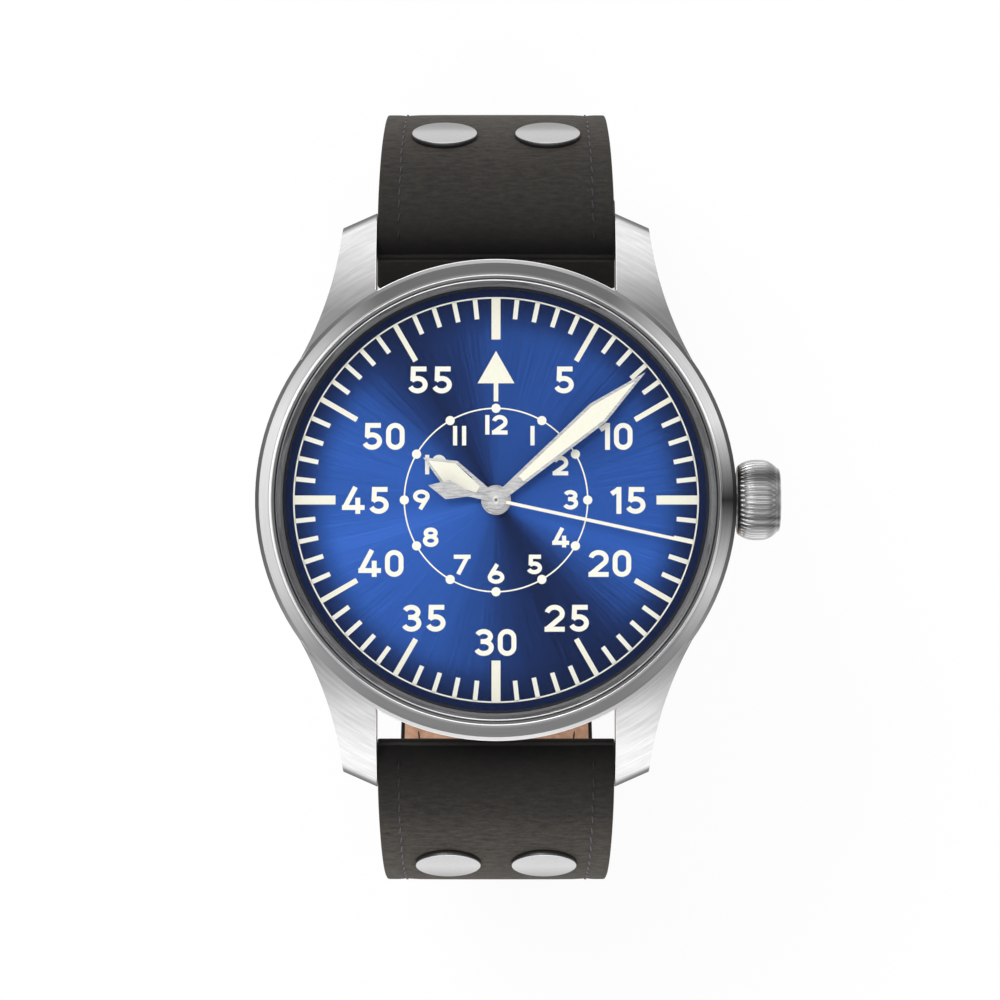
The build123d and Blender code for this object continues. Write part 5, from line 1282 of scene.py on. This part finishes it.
def numeral(text, pixel_place, height, weight, plain_one):
    """The outlines of a plain upright number, centred where the photograph has it."""
    x = 0.0
    outlines = []
    for digit in text:
        width, strokes = digit_strokes(digit, weight, plain_one)
        for depth, stroke in enumerate(strokes):
            quads = ribbon(stroke, weight)
            outlines += [([(px + x, py) for px, py in quad], depth) for quad in quads]
        spacing = hour_spacing if plain_one else minute_spacing
        if text == "11":
            spacing = one_spacing
        x += width + spacing
    full = x - spacing
    left = (pixel_place[0] - dial_pixel[0]) * pixel_size - full / 2 * height
    low = (dial_pixel[1] - pixel_place[1]) * pixel_size - height / 2
    return [([(left + px * height, low + py * height) for px, py in quad], depth) for quad, depth in outlines]


# Numerals' centres in the photograph, in pixels of its 1000 by 1000 frame
dial_pixel = (496.0, 500.0)
pixel_size = 0.0913 * mm
minute_spacing = 0.15
hour_spacing = 0.13
one_spacing = 0.25
minute_numeral_height = 2.45 * mm
hour_numeral_height = 1.78 * mm
minute_stroke_share = 0.182
hour_stroke_share = 0.212
minute_numerals = {
    "5": (563.7, 380.0), "10": (615.8, 436.4), "15": (628.0, 500.4), "20": (609.8, 563.4),
    "25": (566.7, 618.2), "30": (495.0, 642.4), "35": (423.4, 618.2), "40": (381.0, 563.4),
    "45": (365.4, 500.4), "50": (383.3, 436.4), "55": (429.7, 380.0),
}
hour_numerals = {
    "12": (496.4, 424.8), "1": (532.5, 435.7), "2": (560.4, 465.6), "3": (570.3, 499.8),
    "4": (560.7, 537.6), "5": (534.2, 564.4), "6": (496.0, 574.0), "7": (462.2, 564.4),
    "8": (430.7, 537.2), "9": (421.4, 499.4), "10": (435.7, 464.6), "11": (459.6, 435.7),
}
bar_start = minute_circle - minute_bar_length
minute_bars = [bar(6 * n, bar_start, minute_circle, minute_bar_width) for n in range(60) if n % 5]
# The inner ends of the hours' bars, where they reach in past the raised lume
hour_bar_feet = [bar(30 * n, hour_bar_foot, hour_bar_start, hour_bar_width) for n in range(12) if n % 3]
flat_print = [
    ("minute_circle", circle_line(minute_circle, minute_circle_width), 0, print_cream),
    ("hour_circle", circle_line(hour_circle, hour_circle_width), 0, print_cream),
    ("minute_bars", minute_bars, 0, print_cream),
    ("hour_bar_feet", hour_bar_feet, 0, cream),
    ("hour_dots", [disc(hour_dot_radius, polar(hour_circle, 30 * n)) for n in range(12)], -2, print_cream),
    # Painted shadow: a black ring round the dial's edge
    ("dial_edge_line", circle_line(dial_edge_shadow_radius, dial_edge_shadow_width), 0, ring_black),
]
for name, outlines, depth, material in flat_print:
    printed(name, [(outline, depth) for outline in outlines], material)
for name, numbers, height, weight, plain_one in (
    ("minute_numerals", minute_numerals, minute_numeral_height, minute_stroke_share, False),
    ("hour_numerals", hour_numerals, hour_numeral_height, hour_stroke_share, True),
):
    outlines = []
    for text, place in numbers.items():
        outlines += numeral(text, place, height, weight, plain_one)
    printed(name, outlines, print_cream)

# Hands: the hour hand's lume reaches in towards the hub, and a small pin closes the seconds' hub
hour_hand_angle = 300.3
# Pairs of mm along the hand and across it
hour_lume_outline = [(1.9, 0.34), (4.85, 1.02), (7.05, 0.05), (7.05, -0.05), (4.85, -1.02), (1.9, -0.34)]
lume_lift = 0.02 * mm
hub_disc_radius = 0.27 * mm
hub_disc_height = 0.03 * mm
hub_pin_radius = 0.1 * mm
hub_pin_height = 0.06 * mm
out_x, out_y = polar(mm, 90 - hour_hand_angle)
lume_places = [
    (along * out_x - side * out_y, along * out_y + side * out_x) for along, side in hour_lume_outline
]
lume_plate = [(lume_places, hour_hand_high[2] + lume_lift)]
hour_lume = plates("hour_lume", lume_plate, hour_hand_low[2], cream, "hours")
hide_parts("hour_hand_lume")
disc_plate = [(disc(hub_disc_radius), seconds_top + hub_disc_height)]
pin_plate = [(disc(hub_pin_radius), seconds_top + hub_pin_height)]
plates("hub_disc", disc_plate, seconds_top, steel_hands, "seconds")
plates("hub_pin", pin_plate, seconds_top, pin_brown, "seconds")

# Floor, lamps, world and camera
floor_reach = 3.0
floor_drop = 1.5 * mm
height_fade = (0.35, 0.85)
world_ahead = 0.9
world_aside = 0.28
world_overhead = 0.95
lamps = {
    "lamp_behind": {"place": (0, 0.56, 0.27), "size": (0.7, 0.42), "power": 0.9},
    "lamp_front": {"place": (0, -0.56, 0.27), "size": (0.7, 0.42), "power": 0.9},
    "lamp_key": {"place": (-0.27, 0.3, 0.75), "size": (0.3, 0.3), "power": 2.4},
}
camera_aside = 0.365 * mm
camera_height = 0.3986


def make_floor():
    bm = bmesh.new()
    bmesh.ops.create_grid(bm, x_segments=1, y_segments=1, size=floor_reach)
    floor = object_from(bm, "floor", [floor_material()], smooth=False)
    floor.location = (0, 0, cad_box[0][2] - floor_drop)


def area_lamp(name, place, size, power):
    """A lamp that points at the middle of the watch."""
    lamp = bpy.data.lights.new(name, "AREA")
    lamp.shape = "RECTANGLE"
    lamp.size, lamp.size_y = size
    lamp.energy = power
    holder = bpy.data.objects.new(name, lamp)
    bpy.context.scene.collection.objects.link(holder)
    holder.location = place
    holder.rotation_euler = (-Vector(place)).to_track_quat("-Z", "Y").to_euler()


def make_world():
    """A soft studio: mid-grey overhead, lighter ahead and behind, darker to the left and right."""
    world = bpy.data.worlds.new("studio")
    bpy.context.scene.world = world
    nodes = Nodes(world, "Generated")
    by_side = nodes.map_range(nodes.aside("X"), *side_fade, world_ahead, world_aside)
    by_height = nodes.map_range(nodes.axis("Z"), *height_fade)
    blend = nodes.node("Mix", {"Factor": by_height, "A": by_side, "B": world_overhead})
    background = nodes.tree.nodes["Background"]
    nodes.put(blend.outputs["Result"], background.inputs["Strength"])
    nodes.put((1.0, 1.0, 1.0, 1.0), background.inputs["Color"])


make_floor()
make_world()
for name, lamp in lamps.items():
    area_lamp(name, **lamp)

camera_data = bpy.data.cameras.new("camera")
camera_data.lens = 154.0
camera_data.sensor_width = 36.0
camera_data.clip_start = 0.01
camera = bpy.data.objects.new("camera", camera_data)
bpy.context.scene.collection.objects.link(camera)
camera.location = (camera_aside, 0, camera_height)
camera.rotation_euler = (0, 0, 0)
bpy.context.scene.camera = camera

bpy.context.scene.view_settings.view_transform = "Standard"
